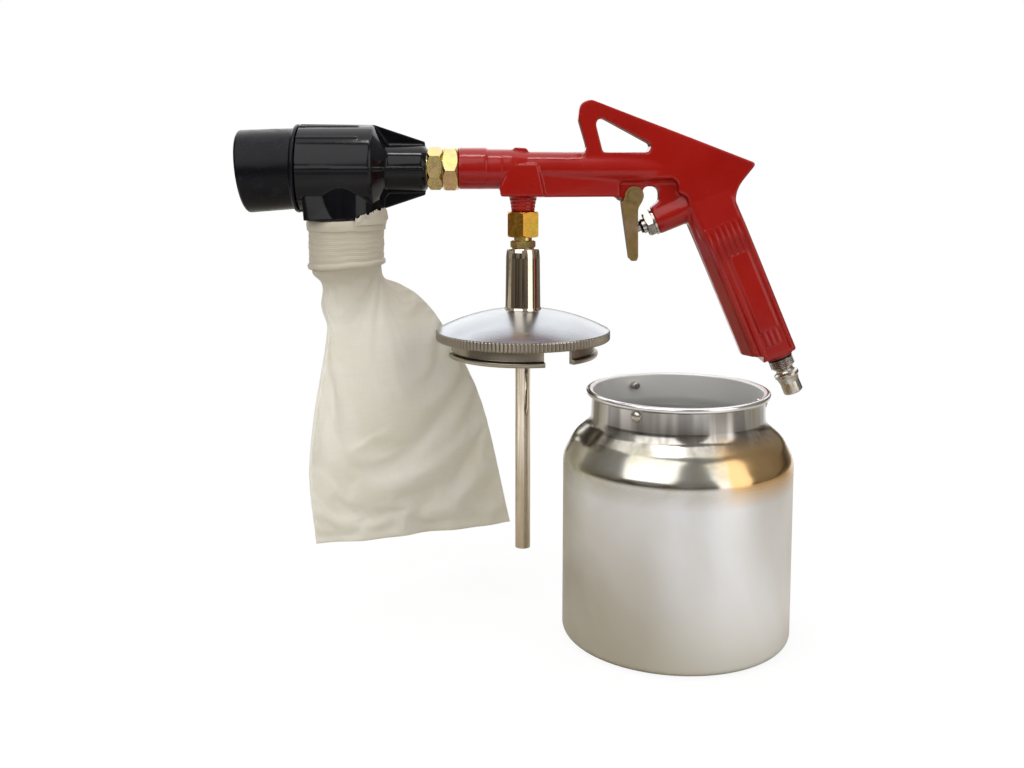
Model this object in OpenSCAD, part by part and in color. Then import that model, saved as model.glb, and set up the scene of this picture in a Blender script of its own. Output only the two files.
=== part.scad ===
// Suction spot-blasting gun: cast gun with trigger valve, black recovery shroud with rubber mouth
// and cloth bag, suction lid with pickup tube, and the loose one-litre abrasive canister.
// X runs along the barrel, the mouth towards -X and the grip towards +X; Z is up.
// The origin is the middle of the grip, where the hand holds the gun.

/* [Barrel] */
// Diameter of the round upper barrel
barrel_d = 17.2; // [16:0.1:18]
// Diameter of the sleeve at the front of the barrel
sleeve_d = 21.4; // [20.5:0.1:22.5]
// Thickness of the rear of the casting, side to side
rear_t = 20; // [18:0.5:22]
// Thickness of the hook above the barrel
hook_t = 13; // [10:0.5:16]

/* [Grip] */
// Lean of the grip, back from vertical
grip_lean = 23; // [22:0.1:24]
// Width of the grip, front to back
grip_w = 26.8; // [26:0.1:28]
// Thickness of the grip, side to side
grip_t = 26; // [23:0.5:28]
// Height of the barrel axis above the middle of the grip
barrel_z = 58; // [57:0.1:59]
// Distance of the suction port in front of the middle of the grip
port_x = 113; // [112:0.1:114]

/* [Trigger and valve] */
// Width of the trigger channel
trigger_w = 12; // [11.5:0.1:12.5]
// Sheet thickness of the trigger
trigger_sheet = 1.2; // [1:0.1:1.4]
// Diameter of the valve boss
valve_boss_d = 14.5; // [14:0.1:15]
// Diameter of the valve stem
stem_d = 4; // [3.6:0.1:4]
// Across flats of the valve nut
valve_nut_af = 12; // [11.6:0.1:12.4]

/* [Nuts] */
// Across flats of the muzzle adapter's hexagon
adapter_af = 21.6; // [21:0.1:22.6]
// Across flats of the lock nut behind the shroud
lock_af = 19.4; // [18.4:0.1:20.4]
// Across flats of the union nut
union_af = 16; // [15.6:0.1:17]
// Across flats of the hexagon on the lid nipple
nipple_af = 11.4; // [11:0.1:12]

/* [Shroud] */
// Outer diameter of the shroud
shroud_d = 44.6; // [44:0.1:46]
// Wall of the shroud
shroud_wall = 2.2; // [1.8:0.1:2.6]
// Number of long ribs round the shroud
shroud_ribs = 12; // [8:1:16]
// Outer diameter of the collection spout
spout_d = 34; // [33:0.1:34.4]
// Outer diameter of the rubber mouth tube
mouth_d = 42.9; // [42:0.1:44]
// Bore of the rubber mouth tube
mouth_bore = 38; // [37.5:0.1:38.5]

/* [Bag] */
// Turn of the bag behind the lid, about the spout
bag_yaw = 32; // [30:1:36]
// Thickness of the limp bag
bag_t = 8; // [6:0.5:9]

/* [Lid] */
// Outer diameter of the knurled lid
lid_d = 92; // [91.8:0.1:94]
// Number of knurls round the lid
lid_knurls = 140; // [90:2:150]
// Outer diameter of the pickup tube
pickup_d = 8; // [7.6:0.1:8]
// Length of the pickup tube below the barrel axis
pickup_z = 203; // [190:0.5:204]

/* [Canister] */
// Outer diameter of the canister body
can_d = 110; // [108:0.5:112]
// Height of the canister
can_h = 120; // [118:0.5:124]
// Outer diameter of the canister neck
neck_d = 82.6; // [82.4:0.1:82.8]
// Sheet thickness of the canister
can_sheet = 0.9; // [0.8:0.1:1.1]
// Canister axis behind the suction port, towards the grip
can_x = 74.0; // [74:0.1:80]
// Canister axis in front of the gun
can_y = 57; // [44:0.5:60]
// Depth of the canister rim below the barrel axis
can_top = 104.5; // [104:0.5:110]

/* [Hidden] */
$fn = 96;

// Colours
red_paint = [0.62, 0.08, 0.06];
black_plastic = [0.03, 0.03, 0.035];
black_rubber = [0.08, 0.08, 0.09];
zinc_yellow = [0.75, 0.6, 0.25];
nickel = [0.75, 0.75, 0.76];
chrome_plate = [0.8, 0.8, 0.82];
bare_aluminium = [0.82, 0.82, 0.8];
brass_metal = [0.78, 0.6, 0.28];
off_white = [0.86, 0.84, 0.76];

// Fits
slip = 0.05;
gap = 0.3;
arc_step = 15;
eps = 0.01;

// Barrel stations along X, from the suction port
muzzle_x = -33.5;
step_x = -18.8;
stage_x = 2.1;
rail_x0 = 10.5;
rail_x1 = 49.7;
rail_z = -14.6;
barrel_x1 = 92;
lug_x = 48;
web_t = 9;

// Air and abrasive ways
chamber_d = 12;
chamber_x = 6;
jet_seat_d = 8;
jet_seat_x = 26;
air_way_d = 5;
suction_d = 7;

// Suction neck under the barrel
neck_thread_d = 12.8;
boss_z = -14.2;
neck_z = -22.2;
neck_end_z = -27.5;

// Trigger pivot, and valve mouth, from the suction port
pivot_x = 57.6;
pivot_z = -14;
lug_r = 4.3;
head_r = 4.9;
pin_d = 3;
valve_x = 68.9;
valve_z = -27.5;
valve_bore_d = 9.6;
valve_thread_d = 10;
valve_depth = 26;
seat_at = 12;
stem_reach = 13.06;

// Grip frame: middle of the plug boss, and its end, down the grip
plug_u = 5;
plug_end = -46.5;
plug_boss_d = 15.4;
grip_way_d = 8;
grip_top = 46;

// Muzzle nuts
adapter_x1 = -33.7;
nut2_x0 = -41.3;
nut1_x0 = -49.4;
nut1_x1 = -41.8;
adapter_d = 13;
adapter_x0 = -64;
nozzle_d = 8;
nozzle_bore = 5;
nozzle_x0 = -92;

// Shroud stations
shroud_x0 = -115.5;
shroud_x1 = -76.8;
cone_x1 = -70.9;
collar_x1 = -49.9;
collar_d = 24.5;
spigot_x0 = -130;
spout_x = -92.5;
saddle_d = 40.5;
saddle_z = -26;
spout_z = -48;
mouth_x0 = -145;
mouth_slant = 6;

// Bag and its cuff
neck_cloth = 0.7;
cuff_z0 = -51.5;
cuff_z1 = -31;
cuff_d = 38;
cuff_ridges = 9;

// Lid stations below the barrel axis
union_z0 = -35.6;
union_z1 = -22.4;
nipple_hex_z0 = -41.5;
nipple_hex_z1 = -37.4;
shank_d = 12;
shank_z0 = -84;
sleeve_z0 = -74.5;
pickup_top = -78;
dome_edge_z = -84.7;
dome_rise = 11.3;
lid_sheet = 1.6;
band_z0 = -89.5;
seat_z = -85.6;
gasket_t = 1.8;
bayonet_wall_d = 74;
bayonet_flange_d = 79.2;
bayonet_z0 = -98.3;
flange_t = 2.4;
bayonet_sheet = 1.5;
gap_angle = 25;
gap_turn = 28.5;

// Canister
bead_r = 1.55;
pin_drop = 6;
pin_turn = -5;
rivet_d = 4;
rivet_head_d = 6.4;
rivet_in = 37.5;

// ---------- outline helpers ----------
function unit(v) = v / norm(v);
function arc_points(c, r, a, turn) =
    let (n = max(2, ceil(abs(turn) / arc_step)))
    [for (i = [0:n]) c + r * [cos(a + turn * i / n), sin(a + turn * i / n)]];
function short_turn(d) = d > 180 ? d - 360 : d < -180 ? d + 360 : d;
function corner(a, q, b) =
    let (
        o = [q[0], q[1]],
        u = unit([a[0], a[1]] - o),
        v = unit([b[0], b[1]] - o),
        half = acos(u * v) / 2,
        c = o + unit(u + v) * q[2] / sin(half),
        s = o + u * q[2] / tan(half) - c,
        e = o + v * q[2] / tan(half) - c,
        start = atan2(s[1], s[0])
    )
    q[2] == 0 ? [o] : arc_points(c, q[2], start, short_turn(atan2(e[1], e[0]) - start));
// Closed outline whose corners [x, y, r] are rounded to r
function rounded(p) = [
    for (i = [0:len(p) - 1])
        each corner(p[(i + len(p) - 1) % len(p)], p[i], p[(i + 1) % len(p)])
];
// Saw-toothed edge of a thread, from height z0 to z1 at radius r
function ridges(r, depth, z0, z1, n) = [
    for (i = [0:2 * n]) [r - (i % 2 == 0 ? depth : 0), z0 + (z1 - z0) * i / (2 * n)]
];

// ---------- placing helpers ----------
// From the suction port on the barrel axis to the origin at the grip
module from_port() translate([-port_x, 0, barrel_z]) children();
module along_x(x) translate([x, 0, 0]) rotate([0, 90, 0]) children();
// Down the grip's own axis, local Z up the grip and local X to its back
module grip_frame() rotate([0, -grip_lean, 0]) children();
// At the valve's mouth, local Z into the casting
module valve_frame() translate([valve_x, 0, valve_z]) rotate([0, 90 - grip_lean, 0]) children();
module at_bag() translate([spout_x, 0, 0]) rotate([0, 0, bag_yaw]) children();
module at_canister() translate([can_x, -can_y, -can_top]) children();
// Flat plate in the XZ plane, the same distance each side of the middle
module side_plate(t, outline) rotate([90, 0, 0]) translate([0, 0, -t / 2]) linear_extrude(t) polygon(outline);
// Upright plate a little off the middle, for one cheek of the trigger
module cheek(y0, t, outline) rotate([90, 0, 0]) translate([0, 0, -y0 - t]) linear_extrude(t) polygon(outline);
module tube(d, bore, z0, z1) difference() {
    translate([0, 0, z0]) cylinder(d = d, h = z1 - z0);
    translate([0, 0, z0 - 1]) cylinder(d = bore, h = z1 - z0 + 2);
}
module rod(d, z0, z1) translate([0, 0, z0]) cylinder(d = d, h = z1 - z0);
// Hexagonal prism with both ends chamfered, a corner on local Y
module hex(af, z0, z1, chamfer) intersection() {
    translate([0, 0, z0]) rotate([0, 0, 30]) cylinder(d = af / cos(30), h = z1 - z0, $fn = 6);
    rotate_extrude() polygon([
        [0, z0], [af / 2 - eps, z0], [af / cos(30) / 2 + eps, z0 + chamfer],
        [af / cos(30) / 2 + eps, z1 - chamfer], [af / 2 - eps, z1], [0, z1]
    ]);
}

// ---------- gun casting ----------
hook_outline = rounded([
    [31.2, 7, 0], [32.7, 11, 3], [28.6, 26, 8], [29.6, 33.6, 4.5], [35.2, 35.6, 4],
    [121.4, 2.2, 1.8], [109, -12.9, 18], [121.5, -43, 0], [95, -50, 0], [84.8, -29, 5],
    [74, -33, 0], [72, -22, 0], [79.5, -14, 3], [79.5, -4, 4], [40, -4, 0]
]);
hook_hole = rounded([[41.8, 9.2, 1.2], [36.9, 27.9, 2.6], [66.4, 12.6, 1.5], [64.8, 9.2, 0.6]]);
web_outline = rounded([
    [lug_x, 0, 0], [84, 0, 0], [84, -24, 0], [72, -27, 0], [66, -20.6, 0.6], [70.4, -17.2, 1.6],
    [70.3, -9.6, 3.7], [62.4, -9.4, 2.6], [62.2, -14.5, 3], [59.4, -17.9, 2], [lug_x, -16, 1.5]
]);
boss_outline = [[-12.2, -4], [-10.9, boss_z], [rail_x0, boss_z], [7.3, 1.4], [-6, 1.4]];

module hook_and_rear() difference() {
    union() {
        side_plate(rear_t, rounded([
            [66, 19.2, 0], [121.4, 2.2, 1.8], [109, -12.9, 18], [121.5, -43, 0], [95, -50, 0],
            [84.8, -29, 5], [79.5, -27, 0], [79.5, -4, 4], [66, -4, 0]
        ]));
        side_plate(hook_t, hook_outline);
    }
    side_plate(rear_t + 2, hook_hole);
}

module barrel() {
    along_x(0) rod(sleeve_d, muzzle_x, step_x);
    along_x(0) rod(sleeve_d - 1.4, step_x - eps, -6);
    along_x(0) rod(sleeve_d - 2.4, -6 - eps, stage_x);
    along_x(0) rod(barrel_d, stage_x - eps, barrel_x1);
    translate([rail_x0 - 2, -5.8, rail_z]) cube([rail_x1 - rail_x0 + 2, 11.6, 12]);
    translate([rail_x0 - 2, -7.2, -8]) cube([rail_x1 - rail_x0 + 26, 14.4, 5]);
}

module suction_boss() {
    side_plate(19.6, boss_outline);
    translate([0, 0, boss_z - 1.4]) cylinder(d1 = neck_thread_d + 0.2, d2 = neck_thread_d + 5, h = 1.5);
    rotate_extrude() polygon(concat(
        [[0, neck_end_z]], ridges(neck_thread_d / 2, 0.45, neck_end_z, boss_z, 9), [[0, boss_z]]
    ));
}

// Grooves cut into one side of the grip: two long ones, and short ones above and below the panel
module grip_grooves() {
    long_z0 = -41;
    groove_w = 1.1;
    for (u = [-4.3, -0.9]) translate([u, 0, long_z0]) cube([groove_w, 1.6, 76]);
    for (i = [0:3]) translate([1.6 + 2.5 * i, 0, 17 + i]) cube([groove_w, 1.6, 17]);
    for (i = [0:2]) translate([1.8 + 2.6 * i, 0, -37]) cube([groove_w, 1.6, 7]);
    translate([8.6, 0, -37]) cube([groove_w, 1.6, 56]);
    for (z = [-30, 16.4]) translate([0, 0, z]) cube([9.6, 1.6, groove_w]);
}

module grip() grip_frame() difference() {
    union() {
        translate([0, 0, -44]) linear_extrude(grip_top + 44) polygon(rounded([
            [-grip_w / 2, -3.5, 1.5], [-5.4, -grip_t / 2, 1.5], [grip_w / 2 - 2.2, -grip_t / 2, 1.5],
            [grip_w / 2, -grip_t / 2 + 4, 2], [grip_w / 2, grip_t / 2 - 4, 2],
            [grip_w / 2 - 2.2, grip_t / 2, 1.5], [-5.4, grip_t / 2, 1.5], [-grip_w / 2, 3.5, 1.5]
        ]));
        translate([plug_u, 0, plug_end]) cylinder(d = plug_boss_d, h = 12);
    }
    // slanted heel in front of the plug boss
    translate([-grip_w / 2 - 1, -20, -37.3]) rotate([0, 27, 0]) translate([-8, 0, -12]) cube([18.6, 40, 12]);
    for (s = [0, 1]) mirror([0, s, 0]) translate([0, grip_t / 2 - 0.9, 0]) grip_grooves();
    // front corner that meets the valve boss
    translate([-grip_w, -20, grip_top - 16]) cube([grip_w * 0.62, 40, 20]);
}

module passages() {
    along_x(0) rod(chamber_d, muzzle_x - 1, chamber_x);
    along_x(0) rod(jet_seat_d, chamber_x - 1, jet_seat_x);
    along_x(0) rod(air_way_d, jet_seat_x - 1, 80);
    translate([0, 0, neck_end_z - 1]) cylinder(d = suction_d, h = -neck_end_z + 1);
    valve_frame() {
        rod(valve_thread_d + 2 * slip, -1, 6);
        rod(valve_bore_d, 5, valve_depth);
        rod(6, valve_depth - 1, valve_depth + 8);
    }
    translate([77.2, 0, -24]) cylinder(d = 4.5, h = 24);
}

module gun_body() color(red_paint) difference() {
    union() {
        from_port() {
            barrel();
            suction_boss();
            hook_and_rear();
            side_plate(web_t, web_outline);
            translate([pivot_x, web_t / 2, pivot_z]) rotate([90, 0, 0]) cylinder(r = lug_r, h = web_t);
            valve_frame() rod(valve_boss_d, 0, 20);
        }
        grip();
    }
    from_port() passages();
    grip_frame() translate([plug_u, 0, 0]) {
        rod(grip_way_d, plug_end - 1, grip_top + 1);
        rod(11, plug_end - 1, plug_end + 10);
    }
    from_port() {
        // the trigger's cheeks swing here, beside the lug
        for (s = [0, 1]) mirror([0, s, 0]) translate([pivot_x - 7.5, web_t / 2, -25.5]) cube([13.4, 8, 17]);
        translate([pivot_x, 20, pivot_z]) rotate([90, 0, 0]) cylinder(d = pin_d, h = 40);
        translate([50.2, 20, -15.7]) rotate([90, 0, 0]) cylinder(d = 2, h = 40);
    }
}

// ---------- inside the barrel ----------
module air_jet() color(brass_metal) from_port() along_x(0) difference() {
    union() {
        rod(jet_seat_d, chamber_x + 2, jet_seat_x - 4);
        translate([0, 0, -4]) cylinder(d1 = 4, d2 = 6, h = chamber_x + 6 + eps);
    }
    rod(2.4, -5, jet_seat_x);
    rod(4, chamber_x, jet_seat_x);
}

module blast_nozzle() color(bare_aluminium) from_port() along_x(0) difference() {
    union() {
        rod(nozzle_d, nozzle_x0, -12);
        rod(chamber_d - 2 * slip, -16, -12);
    }
    rod(nozzle_bore, nozzle_x0 - 1, -11);
    translate([0, 0, -16]) cylinder(d1 = nozzle_bore - eps, d2 = 9, h = 4 + eps);
}

module nozzle_seal() color(black_rubber) from_port() along_x(0) tube(chamber_d - 2 * slip, nozzle_d, -18, -16);

// ---------- muzzle nuts ----------
// Hexagon with a hollow shank each way: behind into the barrel, in front through nut and shroud
module muzzle_adapter() color(zinc_yellow) from_port() along_x(0) difference() {
    union() {
        rotate([0, 0, 4.6]) hex(adapter_af, nut2_x0, adapter_x1, 1.5);
        rod(adapter_d, adapter_x0, nut2_x0 + 1);
        rod(chamber_d - 2 * slip, adapter_x1 - eps, -18 - 2 * slip);
    }
    rod(nozzle_d + 2 * slip, adapter_x0 - 1, -17);
}

module lock_nut() color(zinc_yellow) from_port() along_x(0) difference() {
    rotate([0, 0, 24]) hex(lock_af, nut1_x0, nut1_x1, 1.4);
    rod(adapter_d + 2 * slip, nut1_x0 - 1, nut1_x1 + 1);
}

// ---------- recovery shroud ----------
module shroud() color(black_plastic) from_port() difference() {
    union() {
        along_x(0) rotate_extrude() polygon([
            [0, spigot_x0], [mouth_bore / 2 - slip, spigot_x0], [mouth_bore / 2 - slip, shroud_x0],
            [shroud_d / 2, shroud_x0], [shroud_d / 2, shroud_x1 - 1], [shroud_d / 2 - 1, shroud_x1],
            [collar_d / 2 + 1, cone_x1], [collar_d / 2, cone_x1 + 1],
            [collar_d / 2, collar_x1 - 1], [collar_d / 2 - 1, collar_x1], [0, collar_x1]
        ]);
        along_x(0) for (i = [0:shroud_ribs - 1]) rotate([0, 0, 360 * (i + 0.5) / shroud_ribs])
            translate([shroud_d / 2 - 1, -0.6, shroud_x0]) cube([1.5, 1.2, 31]);
        // four gussets from the edge of the body to the end of the collar
        along_x(0) for (i = [0:3]) rotate([0, 0, 90 * i]) rotate([90, 0, 0]) translate([0, 0, -1])
            linear_extrude(2) polygon([
                [10, shroud_x1 - 4], [shroud_d / 2 + 0.3, shroud_x1 - 4], [shroud_d / 2 - 0.6, shroud_x1],
                [collar_d / 2 + 0.9, collar_x1 - 0.6], [10, collar_x1 - 0.6]
            ]);
        translate([spout_x, 0, saddle_z]) cylinder(d = saddle_d, h = -saddle_z);
        translate([spout_x, 0, spout_z]) cylinder(d = spout_d, h = -spout_z);
    }
    along_x(0) rod(shroud_d - 2 * shroud_wall, shroud_x0 + 3, shroud_x1 - 2);
    along_x(0) rod(mouth_bore - 4, spigot_x0 - 1, shroud_x1 - 2);
    along_x(0) rod(adapter_d + 2 * slip, shroud_x1 - 3, collar_x1 + 1);
    translate([spout_x, 0, spout_z - 1]) cylinder(d = spout_d - 2 * shroud_wall, h = -spout_z + 1);
}

module mouth_tube() color(black_rubber) from_port() difference() {
    along_x(0) union() {
        rod(mouth_d, mouth_x0 - 3, shroud_x0 - gap);
        rotate_extrude() translate([mouth_d / 2 + 0.3, shroud_x0 - gap - 1.5]) circle(r = 1.5);
    }
    along_x(0) rod(mouth_bore, mouth_x0 - 5, shroud_x0 + 1);
    // the mouth is cut a little aslant, its lower lip set back
    translate([mouth_x0, 0, 0]) rotate([0, -mouth_slant, 0]) translate([-20, -40, -40]) cube([20, 80, 80]);
}

// ---------- cloth bag ----------
bag_outline = rounded([
    [-16, -50, 2], [16, -50, 4], [20, -56, 4], [31, -60, 8], [45, -67, 14], [60, -84, 16], [83, -124, 24],
    [104, -200, 3], [44, -199, 30], [0, -194, 8], [-15.5, -193.5, 3], [-20, -160, 20], [-19, -136, 18],
    [-10.5, -86, 12], [-11.5, -64, 8]
]);

module bag() color(off_white) from_port() union() {
    at_bag() side_plate(bag_t, bag_outline);
    translate([spout_x, 0, 0]) {
        tube(spout_d + 2 * gap + 2 * neck_cloth, spout_d + 2 * gap, -50.2, cuff_z1);
        tube(cuff_d + 2, spout_d + 2 * gap, cuff_z1 - eps, saddle_z - gap);
        translate([0, 0, -62]) cylinder(d1 = 22, d2 = spout_d + 2 * gap + 2 * neck_cloth, h = 12);
    }
}

module bag_cuff() color(off_white) from_port() translate([spout_x, 0, 0]) rotate_extrude() polygon(concat(
    [[spout_d / 2 + gap + neck_cloth, cuff_z0 + 1.6]],
    ridges(cuff_d / 2, 0.35, cuff_z0 + 1.6, cuff_z1 - 0.1, cuff_ridges),
    [[spout_d / 2 + gap + neck_cloth, cuff_z1 - 0.1]]
));

// ---------- trigger ----------
blade = [
    [-6.4, -3.6], [-4.6, 0], [4.6, 0], [4.2, -2.6], [2.2, -6.4], [2.3, -32.8], [1.4, -33.9], [-1.2, -33.9], [-2.1, -33]
];

module trigger() color(zinc_yellow) from_port() translate([pivot_x, 0, pivot_z]) difference() {
    union() {
        for (s = [0, 1]) mirror([0, s, 0]) {
            cheek(trigger_w / 2 - trigger_sheet, trigger_sheet, blade);
            translate([0, trigger_w / 2, 0]) rotate([90, 0, 0]) cylinder(r = head_r, h = trigger_sheet);
        }
        side_plate(trigger_w, [[-6.4, -3.6], [-5.2, -3.6], [-0.9, -33], [-1.2, -33.9], [-2.1, -33]]);
        side_plate(trigger_w, [[-1.6, -32.7], [2.3, -32.7], [1.4, -33.9], [-1.2, -33.9]]);
    }
    translate([0, 20, 0]) rotate([90, 0, 0]) cylinder(d = pin_d + 2 * slip, h = 40);
}

module trigger_pin() color(zinc_yellow) from_port() translate([pivot_x, 0, pivot_z]) rotate([90, 0, 0]) difference() {
    union() {
        rod(pin_d, -trigger_w / 2 - 2.2, trigger_w / 2 + 0.3);
        rod(6.6, trigger_w / 2 + 0.1, trigger_w / 2 + 1);
    }
    tube(5, pin_d - 0.7, -trigger_w / 2 - 1.1, -trigger_w / 2 - 0.4);
}

module pin_clip() color(nickel) from_port() translate([pivot_x, 0, pivot_z]) rotate([90, 0, 0]) difference() {
    rod(6, -trigger_w / 2 - 1.05, -trigger_w / 2 - 0.45);
    rod(pin_d - 0.7, -trigger_w / 2 - 2, -trigger_w / 2 + 1);
    translate([-0.9, 0, -trigger_w / 2 - 2]) cube([1.8, 5, 3]);
}

module stop_pin() color(nickel) from_port() translate([50.2, 0, -15.7]) rotate([90, 0, 0]) rod(2, -5.4, 5.4);

// ---------- trigger valve ----------
module valve_washer() color(nickel) from_port() valve_frame() tube(14.2, valve_thread_d + 2 * slip, -1, 0);

module valve_nut() color(nickel) from_port() valve_frame() difference() {
    union() {
        hex(valve_nut_af, -5, -1, 0.7);
        rod(8, -7, -4.9);
        rod(valve_thread_d, -1.1, 5);
    }
    rod(stem_d + 2 * slip, -8, 6);
}

module valve_stem() color(nickel) from_port() valve_frame() {
    rod(stem_d, -stem_reach, seat_at + 3);
    translate([0, 0, -stem_reach]) sphere(d = stem_d);
    rod(7.8, seat_at + 2 + slip, seat_at + 5);
    rod(3, seat_at + 4.9, seat_at + 9);
}

module stem_wiper() color(black_rubber) from_port() valve_frame() tube(6.6, stem_d + 2 * slip, -8.1, -7);

// Coil spring between the poppet and the end of the valve bore
module valve_spring() {
    turns = 5;
    wire = 0.5;
    coil_r = 3.2;
    z0 = seat_at + 5 + wire + slip;
    z1 = valve_depth - wire - slip;
    sides = 8;
    steps = 20 * turns;
    ring_points = [
        for (i = [0:steps], k = [0:sides - 1]) let (a = 360 * turns * i / steps, b = 360 * k / sides) [
            (coil_r + wire * cos(b)) * cos(a), (coil_r + wire * cos(b)) * sin(a),
            z0 + (z1 - z0) * i / steps + wire * sin(b)
        ]
    ];
    faces = concat(
        [[for (k = [0:sides - 1]) k]],
        [for (i = [0:steps - 1], k = [0:sides - 1])
            [i * sides + k, (i + 1) * sides + k, (i + 1) * sides + (k + 1) % sides, i * sides + (k + 1) % sides]],
        [[for (k = [0:sides - 1]) steps * sides + sides - 1 - k]]
    );
    color(nickel) from_port() valve_frame() polyhedron(ring_points, faces);
}

module valve_seat() color(off_white) from_port() valve_frame() tube(valve_bore_d, stem_d + 1.4, seat_at, seat_at + 2);

// ---------- air inlet ----------
module air_plug() color(nickel) grip_frame() translate([plug_u, 0, plug_end]) difference() {
    rotate_extrude() polygon(concat(
        [[0, -21], [4.9, -21], [5.2, -20.7], [5.2, -14.6], [5.9, -11.6], [6.5, -11.2], [6.5, -9.8],
         [5.4, -9], [4.7, -8], [4.7, -7.2], [5.6, -6.2]],
        ridges(6.6, 0.5, -5.8, -1.2, 4),
        [[5.5, -1.2], [5.5, 9.5], [0, 9.5]]
    ));
    rod(6.4, -22, 10);
}

module plug_seal() color(black_rubber) grip_frame() translate([plug_u, 0, plug_end]) tube(13.2, 11, -1.2, 0);

// ---------- suction lid ----------
module union_nut() color(zinc_yellow) from_port() difference() {
    hex(union_af, union_z0, union_z1, 1.2);
    rod(neck_thread_d + 2 * slip, -30, union_z1 + 1);
    rod(9.4 + 2 * slip, union_z0 - 1, -28);
}

module lid_nipple() color(zinc_yellow) from_port() difference() {
    union() {
        rod(6.4, -28, -24);
        rod(neck_thread_d - 0.5, -29.9, neck_end_z - 0.1);
        rod(9.4, nipple_hex_z1 - 1, -29);
        rotate([0, 0, 30]) hex(nipple_af, nipple_hex_z0, nipple_hex_z1, 0.7);
        rod(shank_d, shank_z0, nipple_hex_z0 + eps);
    }
    rod(4.4, pickup_top - 1, -20);
    rod(pickup_d, shank_z0 - 1, pickup_top);
}

module lid_sleeve() color(chrome_plate) from_port() rotate_extrude() polygon([
    [shank_d / 2, sleeve_z0], [9.9, sleeve_z0], [9.9, sleeve_z0 + 0.9], [9.3, sleeve_z0 + 1.6],
    [8.9, nipple_hex_z0 - 0.8], [8.3, nipple_hex_z0], [shank_d / 2, nipple_hex_z0]
]);

dome_r = (pow(lid_d / 2 - 0.5, 2) + pow(dome_rise, 2)) / (2 * dome_rise);
dome_top = dome_edge_z + dome_rise;
function dome_z(r, sheet) = dome_top - dome_r + sqrt(pow(dome_r - sheet, 2) - r * r);

module dome_shell() rotate_extrude() polygon(concat(
    [for (i = [0:12]) let (r = 9 + (lid_d / 2 - 9.5) * i / 12) [r, dome_z(r, 0)]],
    [[lid_d / 2 - 0.5, seat_z], [36, seat_z]],
    [for (i = [12:-1:0]) let (r = 9 + 26 * i / 12) [r, dome_z(r, lid_sheet)]]
));

module lid() color(chrome_plate) from_port() difference() {
    union() {
        dome_shell();
        rod(19, -76.5, sleeve_z0);
        difference() {
            translate([0, 0, band_z0]) linear_extrude(dome_edge_z - band_z0) polygon([
                for (i = [0:2 * lid_knurls - 1])
                    (lid_d / 2 - (i % 2) * 0.55) * [cos(180 * i / lid_knurls), sin(180 * i / lid_knurls)]
            ]);
            rod(lid_d - 2.8, band_z0 - 1, seat_z);
            rod(72, seat_z - 1, dome_edge_z + 1);
        }
        bayonet_ring();
    }
    rod(shank_d, -80, -70);
    rod(20, sleeve_z0, -70);
    // air vent behind the sleeve
    translate([0, 22, -90]) cylinder(d = 2, h = 20);
}

// Three-sector ring whose flange the canister's rivets hook over
module bayonet_ring() difference() {
    rotate_extrude() polygon([
        [bayonet_wall_d / 2 - bayonet_sheet, bayonet_z0], [bayonet_flange_d / 2, bayonet_z0],
        [bayonet_flange_d / 2, bayonet_z0 + flange_t], [bayonet_wall_d / 2, bayonet_z0 + flange_t],
        [bayonet_wall_d / 2, seat_z + 0.5], [bayonet_wall_d / 2 - bayonet_sheet, seat_z + 0.5]
    ]);
    for (i = [0:2]) rotate([0, 0, gap_turn - 90 + 120 * i]) translate([0, 0, bayonet_z0 - 1])
        linear_extrude(seat_z - bayonet_z0 + 0.4) polygon([
            [0, 0], [60, -60 * tan(gap_angle / 2)], [60, 60 * tan(gap_angle / 2)]
        ]);
}

module lid_gasket() color(black_rubber) from_port() tube(lid_d - 3, bayonet_wall_d + 1, seat_z - gasket_t, seat_z);

module lid_nut() color(nickel) from_port() difference() {
    hex(19, -82.5, -76.5, 1);
    rod(shank_d, -84, -75);
}

module pickup_tube() color(chrome_plate) from_port() tube(pickup_d, pickup_d - 1.6, -pickup_z, pickup_top);

// ---------- canister ----------
// Outer wall from the base to the neck, as [r, depth] below the rim
can_wall = rounded([
    [0, -can_h, 0], [can_d / 2, -can_h, 4], [can_d / 2, -29, 9], [neck_d / 2 + 11.6, -25.2, 10],
    [neck_d / 2, -15.6, 4], [neck_d / 2, -bead_r, 0], [0, -bead_r, 0]
]);
can_inside = rounded([
    [0, 1 - can_h + can_sheet, 0], [can_d / 2 - can_sheet, 1 - can_h + can_sheet, 4],
    [can_d / 2 - can_sheet, -29.3, 9], [neck_d / 2 - can_sheet + 11.6, -25.6, 10],
    [neck_d / 2 - can_sheet, -15.8, 4], [neck_d / 2 - can_sheet, 2, 0], [0, 2, 0]
]);

module canister() color(bare_aluminium) from_port() at_canister() difference() {
    union() {
        rotate_extrude() polygon(can_wall);
        rotate_extrude() translate([neck_d / 2 + bead_r - can_sheet, -bead_r]) circle(r = bead_r);
    }
    rotate_extrude() polygon(can_inside);
    rod(can_d - 24, -can_h - 1, -can_h + 1);
    for (i = [0:2]) rotate([0, 0, pin_turn + 120 * i]) translate([0, 0, -pin_drop]) rotate([0, 90, 0])
        rod(rivet_d, 30, 46);
}

module bayonet_pins() color(nickel) from_port() at_canister()
    for (i = [0:2]) rotate([0, 0, pin_turn + 120 * i]) translate([0, 0, -pin_drop]) rotate([0, 90, 0]) {
        rod(rivet_d, rivet_in, neck_d / 2 + 0.3);
        rotate_extrude() polygon([
            [0, neck_d / 2 + 0.15], [rivet_head_d / 2, neck_d / 2 + 0.15],
            [rivet_head_d / 2 - 0.5, neck_d / 2 + 0.9], [rivet_head_d / 2 - 1.6, neck_d / 2 + 1.3],
            [0, neck_d / 2 + 1.3]
        ]);
    }

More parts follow.
